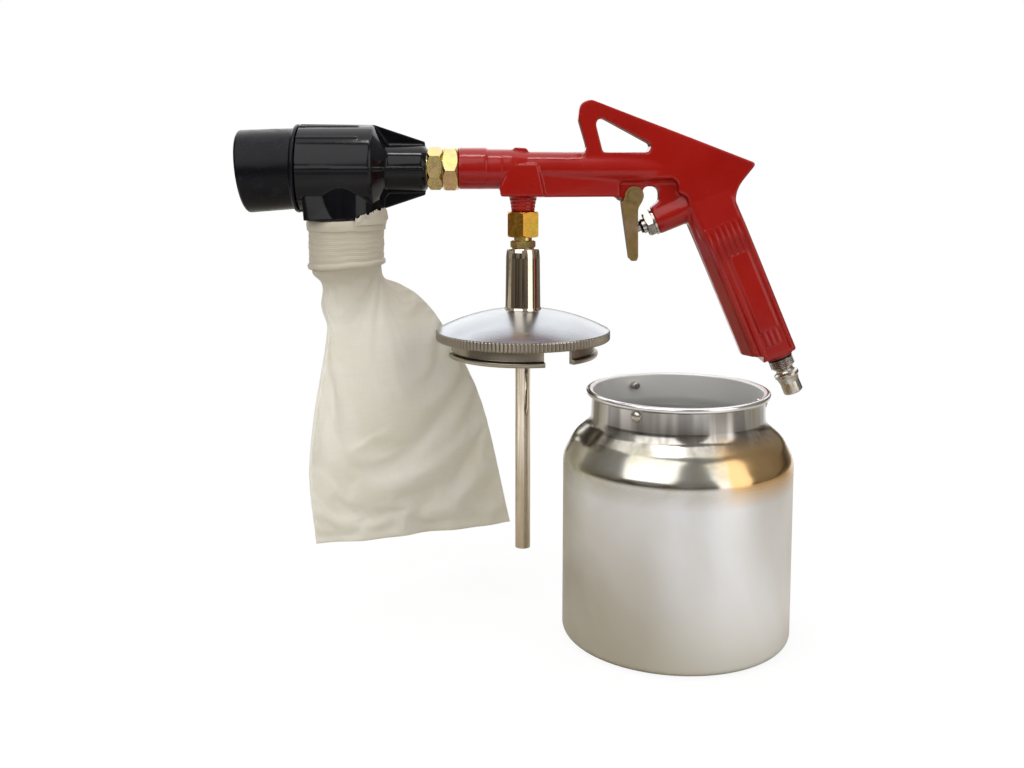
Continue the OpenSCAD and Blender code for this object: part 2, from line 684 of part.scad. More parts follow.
gun_body();
air_jet();
blast_nozzle();
nozzle_seal();
muzzle_adapter();
lock_nut();
shroud();
mouth_tube();
bag();
bag_cuff();
trigger();
trigger_pin();
pin_clip();
stop_pin();
valve_washer();
valve_nut();
valve_stem();
stem_wiper();
valve_spring();
valve_seat();
air_plug();
plug_seal();
union_nut();
lid_nipple();
lid_sleeve();
lid();
lid_gasket();
lid_nut();
pickup_tube();
canister();
bayonet_pins();
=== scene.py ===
"""Studio scene of the spot blasting gun, its recovery bag and its abrasive canister.

Shapes are drawn in millimetres from the suction port on the barrel's axis, and row() turns them into the
row frame, whose origin is the middle of the grip.
"""

import math

import bmesh
import bpy
from mathutils import Matrix, Vector, noise

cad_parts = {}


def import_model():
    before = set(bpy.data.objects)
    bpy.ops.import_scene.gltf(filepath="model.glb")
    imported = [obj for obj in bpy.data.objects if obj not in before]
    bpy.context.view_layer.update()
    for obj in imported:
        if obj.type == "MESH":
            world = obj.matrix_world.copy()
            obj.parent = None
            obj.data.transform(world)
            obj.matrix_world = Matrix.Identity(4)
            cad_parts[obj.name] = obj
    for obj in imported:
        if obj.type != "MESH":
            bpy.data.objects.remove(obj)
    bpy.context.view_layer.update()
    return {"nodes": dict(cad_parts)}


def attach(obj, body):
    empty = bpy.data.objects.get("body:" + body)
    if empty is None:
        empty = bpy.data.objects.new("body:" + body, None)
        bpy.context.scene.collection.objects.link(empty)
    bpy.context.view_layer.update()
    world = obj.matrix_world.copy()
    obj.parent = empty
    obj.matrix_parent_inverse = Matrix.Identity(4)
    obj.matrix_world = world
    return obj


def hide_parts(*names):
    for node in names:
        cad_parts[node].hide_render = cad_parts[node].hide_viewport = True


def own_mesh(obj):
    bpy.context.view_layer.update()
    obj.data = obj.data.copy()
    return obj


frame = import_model()
# noise_vector takes its offsets from this seed, so each run moves the surfaces alike
noise.seed_set(1)

GRIP = (113.0, 0.0, -58.0)
LEAN = 23.0


def row(p):
    """A point in millimetres from the suction port, as metres in the row frame."""
    return Vector([(a - b) / 1000 for a, b in zip(p, GRIP)])


# ---------- camera ----------
def add_camera():
    data = bpy.data.cameras.new("camera")
    data.sensor_width = 36
    data.angle = math.radians(48.1)
    data.shift_y = -0.11
    data.clip_start = 0.01
    data.clip_end = 50
    cam = bpy.data.objects.new("camera", data)
    cam.location = row((-5.75, -600, 9.15))
    cam.rotation_euler = (math.radians(90 - 6), 0, 0)
    bpy.context.collection.objects.link(cam)
    bpy.context.scene.camera = cam


add_camera()

# ---------- frames of reference ----------
UPRIGHT = Matrix.Identity(4)
ALONG_X = Matrix.Rotation(math.radians(90), 4, "Y")
ALONG_Y = Matrix.Rotation(math.radians(90), 4, "X")
SIDEWAYS = Matrix(((0, 0, 1, 0), (0, 1, 0, 0), (1, 0, 0, 0), (0, 0, 0, 1)))
SWAP_XY = Matrix(((0, 1, 0, 0), (1, 0, 0, 0), (0, 0, 1, 0), (0, 0, 0, 1)))
SWAP_YZ = Matrix(((1, 0, 0, 0), (0, 0, 1, 0), (0, 1, 0, 0), (0, 0, 0, 1)))
PIVOT_X, PIVOT_Z = 57.6, -14
TRIGGER_PIVOT = Matrix.Translation((PIVOT_X, 0, PIVOT_Z))
STOP_PIN = Matrix.Translation((50.2, 0, -15.7))
SPOUT_X = -92.5
SPOUT = Matrix.Translation((SPOUT_X, 0, 0))
VALVE = Matrix.Translation((68.9, 0, -27.5)) @ Matrix.Rotation(math.radians(90 - LEAN), 4, "Y")
IN_GRIP = Matrix.Translation(GRIP) @ Matrix.Rotation(math.radians(-LEAN), 4, "Y")
PLUG = IN_GRIP @ Matrix.Translation((5, 0, -46.5))
CAN_X, CAN_Y, CAN_TOP, CAN_HEIGHT = 74.0, -57, -104.5, 120
CAN_BASE = CAN_TOP - CAN_HEIGHT
CANISTER = Matrix.Translation((CAN_X, CAN_Y, CAN_TOP))
PIN_DEPTH, PIN_TURN = 6, -5
PINS = [
    CANISTER @ Matrix.Rotation(math.radians(120 * k + PIN_TURN), 4, "Z")
    @ Matrix.Translation((0, 0, -PIN_DEPTH)) @ ALONG_X for k in range(3)
]
LID_EDGE_Z = -84.6


def unit(x, y):
    n = math.hypot(x, y)
    return (x / n, y / n)


def rounded(points, step=12):
    """A closed outline from corners (x, y, radius)."""
    out = []
    for i, (x, y, r) in enumerate(points):
        if not r:
            out.append((x, y))
            continue
        ax, ay = points[i - 1][:2]
        bx, by = points[(i + 1) % len(points)][:2]
        u, v = unit(ax - x, ay - y), unit(bx - x, by - y)
        half = math.acos(max(-1, min(1, u[0] * v[0] + u[1] * v[1]))) / 2
        m = unit(u[0] + v[0], u[1] + v[1])
        c = (x + m[0] * r / math.sin(half), y + m[1] * r / math.sin(half))
        t = r / math.tan(half)
        a = math.atan2(y + u[1] * t - c[1], x + u[0] * t - c[0])
        b = math.atan2(y + v[1] * t - c[1], x + v[0] * t - c[0])
        turn = (b - a + math.pi) % math.tau - math.pi
        n = max(2, math.ceil(abs(math.degrees(turn)) / step))
        angles = [a + turn * k / n for k in range(n + 1)]
        out += [(c[0] + r * math.cos(angle), c[1] + r * math.sin(angle)) for angle in angles]
    return out


def blend_curve(points, t):
    """Smooth curve through (t, x, y) stations."""
    for i in range(len(points) - 1):
        if t <= points[i + 1][0] or i == len(points) - 2:
            p0, p1, p2, p3 = (points[max(0, min(len(points) - 1, i + k))] for k in (-1, 0, 1, 2))
            s = (t - p1[0]) / (p2[0] - p1[0])
            out = []
            for k in (1, 2):
                m1 = (p2[k] - p0[k]) / (p2[0] - p0[0]) * (p2[0] - p1[0])
                m2 = (p3[k] - p1[k]) / (p3[0] - p1[0]) * (p2[0] - p1[0])
                h = s * s * (3 - 2 * s)
                out.append(p1[k] + h * (p2[k] - p1[k]) + (s**3 - 2 * s * s + s) * m1 + (s**3 - s * s) * m2)
            return out


class Shape:
    """Closed shells gathered in one mesh, in millimetres."""

    def __init__(self):
        self.verts = []
        self.faces = []

    def add(self, verts, faces, matrix=UPRIGHT):
        base = len(self.verts)
        self.verts += [matrix @ Vector(v) for v in verts]
        self.faces += [[base + i for i in f] for f in faces]
        return self

    def loft(self, sections, matrix=UPRIGHT):
        """Skin through (height, outline) sections with equal counts, closed at both ends."""
        n = len(sections[0][1])
        verts = [(x, y, z) for z, outline in sections for x, y in outline]
        faces = [list(range(n))[::-1], [(len(sections) - 1) * n + k for k in range(n)]]
        for i in range(len(sections) - 1):
            for k in range(n):
                j = (k + 1) % n
                faces.append([i * n + k, i * n + j, (i + 1) * n + j, (i + 1) * n + k])
        return self.add(verts, faces, matrix)

    def plate(self, outline, y0, y1, matrix=UPRIGHT):
        """An XZ outline between two values of Y."""
        return self.loft([(y0, outline), (y1, outline)], matrix @ SWAP_YZ)

    def block(self, low, high, matrix=UPRIGHT):
        outline = [(low[0], low[1]), (high[0], low[1]), (high[0], high[1]), (low[0], high[1])]
        return self.loft([(low[2], outline), (high[2], outline)], matrix)

    def lathe(self, profile, matrix=UPRIGHT, n=96, shape=None, start=0.0, end=360.0):
        """A closed (radius, height) profile turned about the local Z; shape(r, h, angle) may bend it."""
        whole = abs(end - start - 360) < 1e-6
        cols = n if whole else n + 1
        verts = []
        for k in range(cols):
            a = math.radians(start + (end - start) * k / n)
            for r, h in profile:
                rr, hh = shape(r, h, a) if shape else (r, h)
                verts.append((rr * math.cos(a), rr * math.sin(a), hh))
        m = len(profile)
        faces = []
        for k in range(n):
            j = (k + 1) % cols
            for i in range(m):
                q = (i + 1) % m
                if profile[i][0] == 0 and profile[q][0] == 0:
                    continue
                faces.append([k * m + i, j * m + i, j * m + q, k * m + q])
        if not whole:
            faces.append(list(range(m)))
            faces.append([n * m + i for i in range(m)][::-1])
        return self.add(verts, faces, matrix)

    def rod(self, d, z0, z1, matrix=UPRIGHT, n=64):
        return self.lathe([(0, z0), (d / 2, z0), (d / 2, z1), (0, z1)], matrix, n)

    def object(self, name):
        mesh = bpy.data.meshes.new(name)
        mesh.from_pydata([row(v) for v in self.verts], [], self.faces)
        bm = bmesh.new()
        bm.from_mesh(mesh)
        bmesh.ops.remove_doubles(bm, verts=bm.verts, dist=1e-7)
        bmesh.ops.dissolve_degenerate(bm, edges=bm.edges, dist=1e-8)
        bmesh.ops.recalc_face_normals(bm, faces=bm.faces)
        bm.to_mesh(mesh)
        bm.free()
        obj = bpy.data.objects.new(name, mesh)
        bpy.context.collection.objects.link(obj)
        return obj


def baked(obj):
    """Applies the object's modifiers."""
    graph = bpy.context.evaluated_depsgraph_get()
    mesh = bpy.data.meshes.new_from_object(obj.evaluated_get(graph))
    obj.modifiers.clear()
    old = obj.data
    obj.data = mesh
    bpy.data.meshes.remove(old)
    mesh.name = obj.name
    return obj


def taken(obj):
    """The object's points in millimetres and its faces; the object is used up."""
    verts = [[a * 1000 + b for a, b in zip(v.co, GRIP)] for v in obj.data.vertices]
    faces = [list(p.vertices) for p in obj.data.polygons]
    mesh = obj.data
    bpy.data.objects.remove(obj)
    bpy.data.meshes.remove(mesh)
    return verts, faces


def cut(obj, shape, solver="MANIFOLD"):
    tool = shape.object("tool")
    m = obj.modifiers.new("cut", "BOOLEAN")
    m.operation = "DIFFERENCE"
    m.solver = solver
    m.object = tool
    baked(obj)
    old = tool.data
    bpy.data.objects.remove(tool)
    bpy.data.meshes.remove(old)
    return obj


def cast(obj, voxel, rounds, keep=1.0):
    """Melts the shells into one skin with soft edges and fillets, as a casting or moulding has."""
    m = obj.modifiers.new("skin", "REMESH")
    m.mode = "VOXEL"
    m.voxel_size = voxel / 1000
    m = obj.modifiers.new("soft", "SMOOTH")
    m.factor = 0.5
    m.iterations = rounds
    if keep < 1:
        m = obj.modifiers.new("thin", "DECIMATE")
        m.ratio = keep
    return baked(obj)


def smooth(obj, angle=35):
    for p in obj.data.polygons:
        p.use_smooth = True
    obj.data.set_sharp_from_angle(angle=math.radians(angle))
    return obj


def bevel(obj, width):
    """Breaks the sharp edges of a piece by a width in millimetres."""
    m = obj.modifiers.new("edge", "BEVEL")
    m.width = width / 1000
    m.segments = 2
    m.limit_method = "ANGLE"
    m.angle_limit = math.radians(30)


def wander(obj, size, amount):
    """Moves the surface by slow noise: size and amount in millimetres."""
    for v in obj.data.vertices:
        v.co += noise.noise_vector(v.co * (1000 / size)) * (amount / 1000)
    return obj


def clamped(x):
    return max(0.0, min(1.0, x))


# ---------- materials ----------
class Finish:
    """A node material under construction."""

    def __init__(self, name):
        self.mat = bpy.data.materials.new(name)
        self.mat.use_nodes = True
        self.tree = self.mat.node_tree
        self.shader = self.tree.nodes["Principled BSDF"]
        self.coords = self.tree.nodes.new("ShaderNodeTexCoord").outputs["Object"]

    def node(self, kind, values=(), **settings):
        n = self.tree.nodes.new(kind)
        for key, value in settings.items():
            setattr(n, key, value)
        for key, value in dict(values).items():
            if isinstance(value, bpy.types.NodeSocket):
                self.tree.links.new(value, n.inputs[key])
            else:
                n.inputs[key].default_value = value
        return n

    def set(self, **values):
        for key, value in values.items():
            socket = self.shader.inputs[key.replace("_", " ")]
            if isinstance(value, bpy.types.NodeSocket):
                self.tree.links.new(value, socket)
            else:
                socket.default_value = value
        return self

    def noise(self, scale, detail=4.0, rough=0.55, stretch=None, distortion=0.0):
        where = self.coords
        if stretch:
            where = self.node("ShaderNodeMapping", {"Vector": where, "Scale": stretch}).outputs[0]
        return self.node("ShaderNodeTexNoise", {
            "Vector": where, "Scale": scale, "Detail": detail, "Roughness": rough, "Distortion": distortion,
        }).outputs["Fac"]

    def levels(self, value, low, high, out_low=0.0, out_high=1.0):
        return self.node("ShaderNodeMapRange", {
            "Value": value, "From Min": low, "From Max": high, "To Min": out_low, "To Max": out_high,
        }).outputs[0]

    def mix(self, fac, a, b):
        n = self.tree.nodes.new("ShaderNodeMix")
        n.data_type = "RGBA"
        for index, value in ((0, fac), (6, a), (7, b)):
            if isinstance(value, bpy.types.NodeSocket):
                self.tree.links.new(value, n.inputs[index])
            else:
                n.inputs[index].default_value = value if index == 0 else (*value, 1)
        return n.outputs[2]

    def math(self, kind, a, b):
        return self.node("ShaderNodeMath", {0: a, 1: b}, operation=kind).outputs[0]

    def height(self):
        return self.node("ShaderNodeSeparateXYZ", {0: self.coords}).outputs[2]

    def corner_shade(self, reach, low=0.5, high=0.95):
        """Ambient occlusion as a mask for painting shade into corners: 1 deep in a corner of the piece and 0 in the
        open; reach in millimetres.
        """
        shade = self.node("ShaderNodeAmbientOcclusion", {"Distance": reach / 1000},
                          samples=4, only_local=True)
        return self.levels(shade.outputs["AO"], low, high, 1.0, 0.0)

    def bump(self, *layers):
        """Stacks (height, strength, distance in mm) layers."""
        normal = None
        for value, strength, distance in layers:
            inputs = {"Height": value, "Strength": strength, "Distance": distance / 1000}
            if normal:
                inputs["Normal"] = normal
            normal = self.node("ShaderNodeBump", inputs).outputs[0]
        return self.set(Normal=normal)


def red_paint():
    f = Finish("red_paint")
    base = f.mix(f.levels(f.noise(22, 3), 0.35, 0.7), (0.285, 0.0045, 0.0025), (0.335, 0.0075, 0.004))
    stains = f.levels(f.noise(140, 5, 0.65, distortion=0.6), 0.52, 0.72, 0.0, 0.3)
    base = f.mix(stains, base, (0.215, 0.0045, 0.004))
    # painted shade: darker red deep in the casting's corners and recesses
    base = f.mix(f.corner_shade(2.0), base, (0.17, 0.003, 0.003))
    f.set(Base_Color=base, Roughness=f.levels(f.noise(80, 6, 0.6), 0.3, 0.75, 0.16, 0.30), Coat_Weight=0.15,
          Coat_Roughness=0.08, Specular_IOR_Level=0.24)
    f.bump((f.noise(260, 2, 0.5), 0.16, 0.35), (f.noise(900, 2), 0.06, 0.12))
    return f.mat


def black_plastic():
    f = Finish("black_plastic")
    smear = f.levels(f.noise(60, 5, 0.65, stretch=(0.35, 1, 1), distortion=0.6), 0.42, 0.72)
    base = f.mix(smear, (0.0022, 0.0022, 0.0036), (0.006, 0.006, 0.009))
    f.set(Base_Color=base, Roughness=f.levels(smear, 0, 1, 0.08, 0.20), Specular_IOR_Level=0.23)
    f.bump((f.noise(140, 2), 0.10, 0.25), (f.noise(1600, 2), 0.03, 0.05))
    return f.mat


def black_rubber():
    f = Finish("black_rubber")
    dust = f.levels(f.noise(110, 6, 0.7, stretch=(1, 0.5, 1), distortion=0.8), 0.50, 0.78)
    base = f.mix(dust, (0.003, 0.003, 0.005), (0.013, 0.013, 0.018))
    specks = f.levels(f.noise(1500, 2, 0.6), 0.73, 0.76)
    base = f.mix(specks, base, (0.12, 0.12, 0.13))
    f.set(Base_Color=base, Roughness=f.levels(dust, 0, 1, 0.28, 0.52), Specular_IOR_Level=0.14)
    f.bump((f.noise(200, 4), 0.22, 0.20), (f.noise(1800, 3), 0.10, 0.06))
    return f.mat


def zinc_yellow(name, colour, pink, olive, dirt, low=0.20):
    """Chromated zinc, drifting between gold, pink and olive."""
    f = Finish(name)
    base = f.mix(f.levels(f.noise(70, 2, distortion=0.5), 0.36, 0.68), colour, pink)
    base = f.mix(f.levels(f.noise(55, 2, distortion=0.4), 0.46, 0.78), base, olive)
    base = f.mix(f.levels(f.noise(420, 5, 0.65), 0.50, 0.80, 0.0, 0.30), base, dirt)
    f.set(Base_Color=base, Metallic=1.0, Roughness=f.levels(f.noise(350, 5), 0.3, 0.7, low, low + 0.14))
    f.bump((f.noise(900, 3, stretch=(1, 1, 0.2)), 0.06, 0.04), (f.noise(120, 2), 0.06, 0.10))
    return f.mat


def nickel():
    f = Finish("nickel")
    base = f.mix(f.levels(f.noise(250, 4), 0.4, 0.7), (0.52, 0.50, 0.47), (0.42, 0.38, 0.33))
    # painted shade: darker and browner deep in corners
    base = f.mix(f.corner_shade(1.0), base, (0.16, 0.13, 0.10))
    f.set(Base_Color=base, Metallic=1.0, Roughness=f.levels(f.noise(500, 5), 0.3, 0.7, 0.14, 0.30))
    f.bump((f.noise(1200, 3), 0.06, 0.05))
    return f.mat


def chrome_plate():
    f = Finish("chrome_plate")
    haze = f.levels(f.noise(90, 6, 0.7, distortion=0.4), 0.5, 0.8)
    base = f.mix(haze, (0.70, 0.62, 0.51), (0.58, 0.49, 0.38))
    f.set(Base_Color=base, Metallic=1.0, Roughness=f.levels(haze, 0, 1, 0.05, 0.16))
    f.bump((f.noise(160, 2), 0.04, 0.10), (f.noise(2200, 2), 0.02, 0.03))
    return f.mat


def lid_chrome():
    f = Finish("lid_chrome")
    centre = row((0, 0, -90))
    middle = f.node("ShaderNodeMapping", {"Vector": f.coords, "Location": tuple(-centre)}).outputs[0]
    flat = f.node("ShaderNodeMapping", {"Vector": middle, "Scale": (1, 1, 0)}).outputs[0]
    radius = f.node("ShaderNodeVectorMath", {0: flat}, operation="LENGTH").outputs["Value"]
    rings = f.node("ShaderNodeTexNoise", {
        "W": f.math("MULTIPLY", radius, 2600.0), "Scale": 1.0, "Detail": 3.0,
    }, noise_dimensions="1D").outputs["Fac"]
    haze = f.levels(f.noise(45, 3, 0.5), 0.35, 0.75)
    base = f.mix(haze, (0.36, 0.38, 0.41), (0.32, 0.33, 0.355))
    below = f.levels(f.height(), row((0, 0, LID_EDGE_Z)).z, row((0, 0, LID_EDGE_Z - 0.6)).z)
    base = f.mix(below, base, (0.36, 0.32, 0.26))
    # painted shade: darker in the knurl's grooves and the lid's corners
    base = f.mix(f.corner_shade(1.5, 0.45, 0.95), base, (0.15, 0.12, 0.09))
    shine = f.levels(f.math("ADD", haze, rings), 0.2, 1.6, 0.20, 0.30)
    f.set(Base_Color=base, Metallic=1.0, Roughness=f.math("ADD", shine, f.math("MULTIPLY", below, 0.08)))
    f.bump((rings, 0.02, 0.03))
    return f.mat


def spun_aluminium():
    """Satin body, polished shoulder and neck, dull inside, with reflections painted into the colour: warm smears and
    an orange patch on the shoulder, dark and light bands on the neck and a warm tint towards the bottom.
    """
    f = Finish("spun_aluminium")
    z = f.height()
    top = row((0, 0, CAN_TOP)).z
    body = f.levels(z, top - 0.033, top - 0.037)
    axis = row((CAN_X, CAN_Y, 0))
    flat = f.node("ShaderNodeMapping", {
        "Vector": f.coords, "Location": (-axis.x, -axis.y, 0), "Scale": (1, 1, 0),
    })
    normal = f.node("ShaderNodeNewGeometry").outputs["True Normal"]
    facing = f.node("ShaderNodeVectorMath", {0: flat.outputs[0], 1: normal}, operation="DOT_PRODUCT")
    inside = f.levels(facing.outputs["Value"], -0.002, -0.012)
    neck_reflection_streaks = f.noise(1.0, 2, 0.6, stretch=(110, 110, 3))
    cloud = f.levels(f.noise(11, 4, 0.55, stretch=(1, 1, 0.55), distortion=0.9), 0.40, 0.66)
    smear = f.levels(f.noise(20, 4, 0.55, stretch=(1, 1, 1.6), distortion=1.0), 0.42, 0.66)
    base = f.mix(cloud, (0.72, 0.72, 0.74), (0.63, 0.62, 0.59))
    neck = f.math("MULTIPLY", f.levels(z, top - 0.026, top - 0.018), f.levels(z, top - 0.0025, top - 0.0035))
    # painted reflection: dark and light vertical bands on the polished neck
    band = f.mix(f.levels(neck_reflection_streaks, 0.42, 0.58), (0.48, 0.46, 0.43), (0.17, 0.155, 0.14))
    base = f.mix(f.math("MULTIPLY", neck, 0.85), base, band)
    # painted reflection: warm smears over the polished shoulder and an orange patch on its right side
    shoulder = f.math("MULTIPLY", f.levels(z, top - 0.044, top - 0.034),
                      f.levels(z, top - 0.014, top - 0.021))
    x = f.node("ShaderNodeSeparateXYZ", {0: f.coords}).outputs[0]
    side = f.levels(x, axis.x + 0.002, axis.x + 0.026, 0.0, 0.75)
    patch = f.levels(f.math("ADD", side, f.noise(26, 3, 0.5, distortion=0.8)), 0.62, 0.98)
    shoulder_reflection_tint = f.mix(patch, (0.40, 0.37, 0.27), (0.64, 0.42, 0.20))
    amount = f.math("MAXIMUM", f.levels(smear, 0, 1, 0.45, 0.95), patch)
    base = f.mix(f.math("MULTIPLY", shoulder, amount), base, shoulder_reflection_tint)
    # painted reflection: a warm tint towards the bottom of the body
    base = f.mix(f.levels(z, top - 0.085, top - 0.122, 0.0, 0.6), base, (0.67, 0.65, 0.57))
    base = f.mix(inside, base, (0.70, 0.70, 0.69))
    polished = f.levels(smear, 0, 1, 0.15, 0.24)
    satin = f.levels(cloud, 0, 1, 0.29, 0.34)
    rough = f.node("ShaderNodeMix", {0: body, 2: polished, 3: satin}).outputs[0]
    rough = f.node("ShaderNodeMix", {0: inside, 2: rough, 3: 0.5}).outputs[0]
    f.set(Base_Color=base, Metallic=f.levels(inside, 0, 1, 1.0, 0.55), Roughness=rough)
    f.bump((f.noise(30, 1), 0.10, 0.35))
    return f.mat


def inner_metal(name, colour, low, high):
    f = Finish(name)
    base = f.mix(f.levels(f.noise(200, 4), 0.35, 0.7), colour, tuple(c * 0.8 for c in colour))
    f.set(Base_Color=base, Metallic=1.0, Roughness=f.levels(f.noise(500, 4), 0.3, 0.7, low, high))
    f.bump((f.noise(900, 3), 0.08, 0.05))
    return f.mat


def nylon():
    f = Finish("white_nylon")
    base = f.mix(f.levels(f.noise(200, 4), 0.35, 0.7), (0.80, 0.79, 0.74), (0.70, 0.69, 0.63))
    f.set(Base_Color=base, Roughness=f.levels(f.noise(300, 4), 0.3, 0.7, 0.35, 0.5))
    f.bump((f.noise(900, 3), 0.05, 0.05))
    return f.mat


def cloth(name, thread, colour, stain, through):
    """Thin woven cloth, lit partly from behind."""
    f = Finish(name)
    weave = f.math("MULTIPLY", f.noise(1.0, 2, stretch=(thread, thread, thread * 0.12)),
                   f.noise(1.0, 2, stretch=(thread * 0.12, thread * 0.12, thread)))
    spots = f.levels(f.noise(28, 5, 0.6, distortion=0.4), 0.42, 0.75)
    base = f.mix(spots, colour, stain)
    base = f.mix(f.levels(weave, 0.15, 0.40, 0.0, 0.25), base, tuple(c * 0.86 for c in colour))
    # painted shade: the cloth darkens towards the neck, in the shade of the cuff
    cuff_shade = f.levels(f.height(), row((0, 0, -82)).z, row((0, 0, -54)).z, 0.0, 0.85)
    base = f.mix(cuff_shade, base, (0.56, 0.51, 0.42))
    f.set(Base_Color=base, Roughness=f.levels(weave, 0.1, 0.4, 0.75, 0.95), Specular_IOR_Level=0.2,
          Sheen_Weight=0.15, Sheen_Roughness=0.5)
    f.bump((weave, 0.35, 0.15), (f.noise(120, 4), 0.20, 0.35))
    out = f.tree.nodes["Material Output"]
    glow = f.node("ShaderNodeBsdfTranslucent", {"Color": base})
    both = f.node("ShaderNodeMixShader", {0: through, 1: f.shader.outputs[0], 2: glow.outputs[0]})
    f.tree.links.new(both.outputs[0], out.inputs[0])
    return f.mat


RED = red_paint()
BLACK = black_plastic()
RUBBER = black_rubber()
ZINC = zinc_yellow(
    "zinc_yellow", (0.68, 0.50, 0.18), (0.66, 0.42, 0.28), (0.52, 0.47, 0.17), (0.30, 0.22, 0.12))
GOLD_ZINC = zinc_yellow(
    "gold_zinc", (0.50, 0.235, 0.030), (0.60, 0.215, 0.050), (0.38, 0.26, 0.040), (0.24, 0.14, 0.050))
AGED_ZINC = zinc_yellow(
    "aged_zinc", (0.35, 0.23, 0.09), (0.39, 0.27, 0.18), (0.33, 0.25, 0.09), (0.20, 0.14, 0.07), 0.32)
NICKEL = nickel()
CHROME = chrome_plate()
LID = lid_chrome()
SPUN = spun_aluminium()
BRASS = inner_metal("brass_metal", (0.72, 0.52, 0.24), 0.2, 0.35)
STEEL = inner_metal("nozzle_steel", (0.45, 0.45, 0.46), 0.2, 0.4)
NYLON = nylon()
BAG_CLOTH = cloth("bag_cloth", 900, (0.95, 0.94, 0.87), (0.91, 0.87, 0.75), 0.14)
CUFF_CLOTH = cloth("cuff_cloth", 1400, (0.56, 0.51, 0.42), (0.47, 0.42, 0.32), 0.08)


def dress(obj, mat, nodes, body):
    """Gives a drawn piece its material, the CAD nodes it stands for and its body."""
    obj.data.materials.clear()
    obj.data.materials.append(mat)
    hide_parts(*nodes)
    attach(obj, body)
    return obj


# ---------- gun casting ----------
def gun_plates():
    """Hook and rear of the casting, swelling from the hook's thickness to the body's."""
    outline = rounded([
        (31.2, 7, 0), (32.7, 11, 3), (28.2, 26, 8), (29.2, 33.6, 4.5), (34.8, 35.6, 4), (120.0, 2.8, 1.5),
        (107.4, -13.2, 16), (114.4, -32, 0), (100, -42, 0), (91.5, -36, 0), (87.6, -26.0, 3), (84.6, -14.4, 2.5),
        (79.6, -12.4, 2), (80.6, -4.6, 5), (40, -5.2, 0),
    ])
    obj = Shape().plate(outline, -10, 10).object("gun_plates")
    hole = rounded([(41.2, 8.4, 0.6), (36.0, 28.4, 2.8), (66.2, 12.2, 1.5), (64.6, 8.4, 0.6)])
    cut(obj, Shape().plate(hole, -20, 20), "EXACT")
    bm = bmesh.new()
    bm.from_mesh(obj.data)
    for x in range(46, 92, 2):
        everything = bm.verts[:] + bm.edges[:] + bm.faces[:]
        bmesh.ops.bisect_plane(bm, geom=everything, plane_co=row((x, 0, 0)), plane_no=(1, 0, 0))
    for v in bm.verts:
        s = clamped((v.co.x * 1000 + GRIP[0] - 48) / 40)
        v.co.y *= 0.66 + 0.31 * s * s * (3 - 2 * s)
    bm.to_mesh(obj.data)
    bm.free()
    return taken(obj)


def grip_section(scale, nose=3.2):
    """Outline of the grip across its length, with a flat nose at the front."""
    side = 12.3 * scale
    return rounded([
        (-13.4, -nose, 1.2), (-8.8, -side, 2.2), (12.0, -side, 1.2), (13.4, -side + 3.4, 1.8),
        (13.4, side - 3.4, 1.8), (12.0, side, 1.2), (-8.8, side, 2.2), (-13.4, nose, 1.2),
    ], 90)


def bar(x0, x1, scale):
    """A strip across the grip that stands a little proud of both cheeks."""
    side = 13.2 * scale
    return [(x0, -side), (x1, -side), (x1, side), (x0, side)]


def gun_core():
    """The big masses of the casting, melted together with generous fillets."""
    s = Shape()
    s.rod(17.2, -14, 92, ALONG_X)
    # rail under the barrel, narrowing towards the trigger
    s.loft([(8, [(-14.8, -7.6), (-1, -8.3), (-1, 8.3), (-14.8, 7.6)]),
            (49.8, [(-14.6, -5.6), (-4, -6.6), (-4, 6.6), (-14.6, 5.6)])], SIDEWAYS)
    s.loft([(40, [(-6.8, -6.0), (-1, -8.5), (-1, 8.5), (-6.8, 6.0)]),
            (80, [(-5.0, -7.8), (-1, -8.6), (-1, 8.6), (-5.0, 7.8)])], SIDEWAYS)
    # suction boss
    s.loft([(-14.4, rounded([(-11.6, -9.8, 1), (11.1, -9.8, 1), (11.1, 9.8, 1), (-11.6, 9.8, 1)])),
            (-9.4, rounded([(-12.2, -10, 1), (10.2, -10, 1), (10.2, 10, 1), (-12.2, 10, 1)])),
            (2.4, rounded([(-6.8, -9.8, 1), (7.4, -9.8, 1), (7.4, 9.8, 1), (-6.8, 9.8, 1)]))])
    s.add(*gun_plates())
    # thin web behind the trigger, with its lug
    web = rounded([
        (48, 0, 0), (84, 0, 0), (84, -24, 0), (72, -27, 0), (66, -20.6, 0.6), (70.6, -17.0, 1.6),
        (70.5, -9.4, 3.7), (62.2, -9.2, 2.6), (62.0, -14.5, 3), (59.2, -18.1, 2), (48, -15.8, 1.5)])
    s.plate(web, -4.7, 4.7)
    angles = [k * math.tau / 32 for k in range(32)]
    s.plate([(PIVOT_X + 4.5 * math.cos(a), PIVOT_Z + 4.5 * math.sin(a)) for a in angles], -4.7, 4.7)
    # valve boss running up into the body
    s.lathe([(0, 1), (7.35, 1), (7.5, 14), (8.3, 19), (9.6, 23.5), (0, 23.5)], VALVE)
    s.loft([(-43.5, grip_section(1.0)), (10, grip_section(1.0)), (27, grip_section(0.97, 4.4)),
            (36, grip_section(0.88, 6.0)), (46, grip_section(0.80, 6.8))], IN_GRIP)
    return cast(s.object("gun_core"), 0.6, 9)


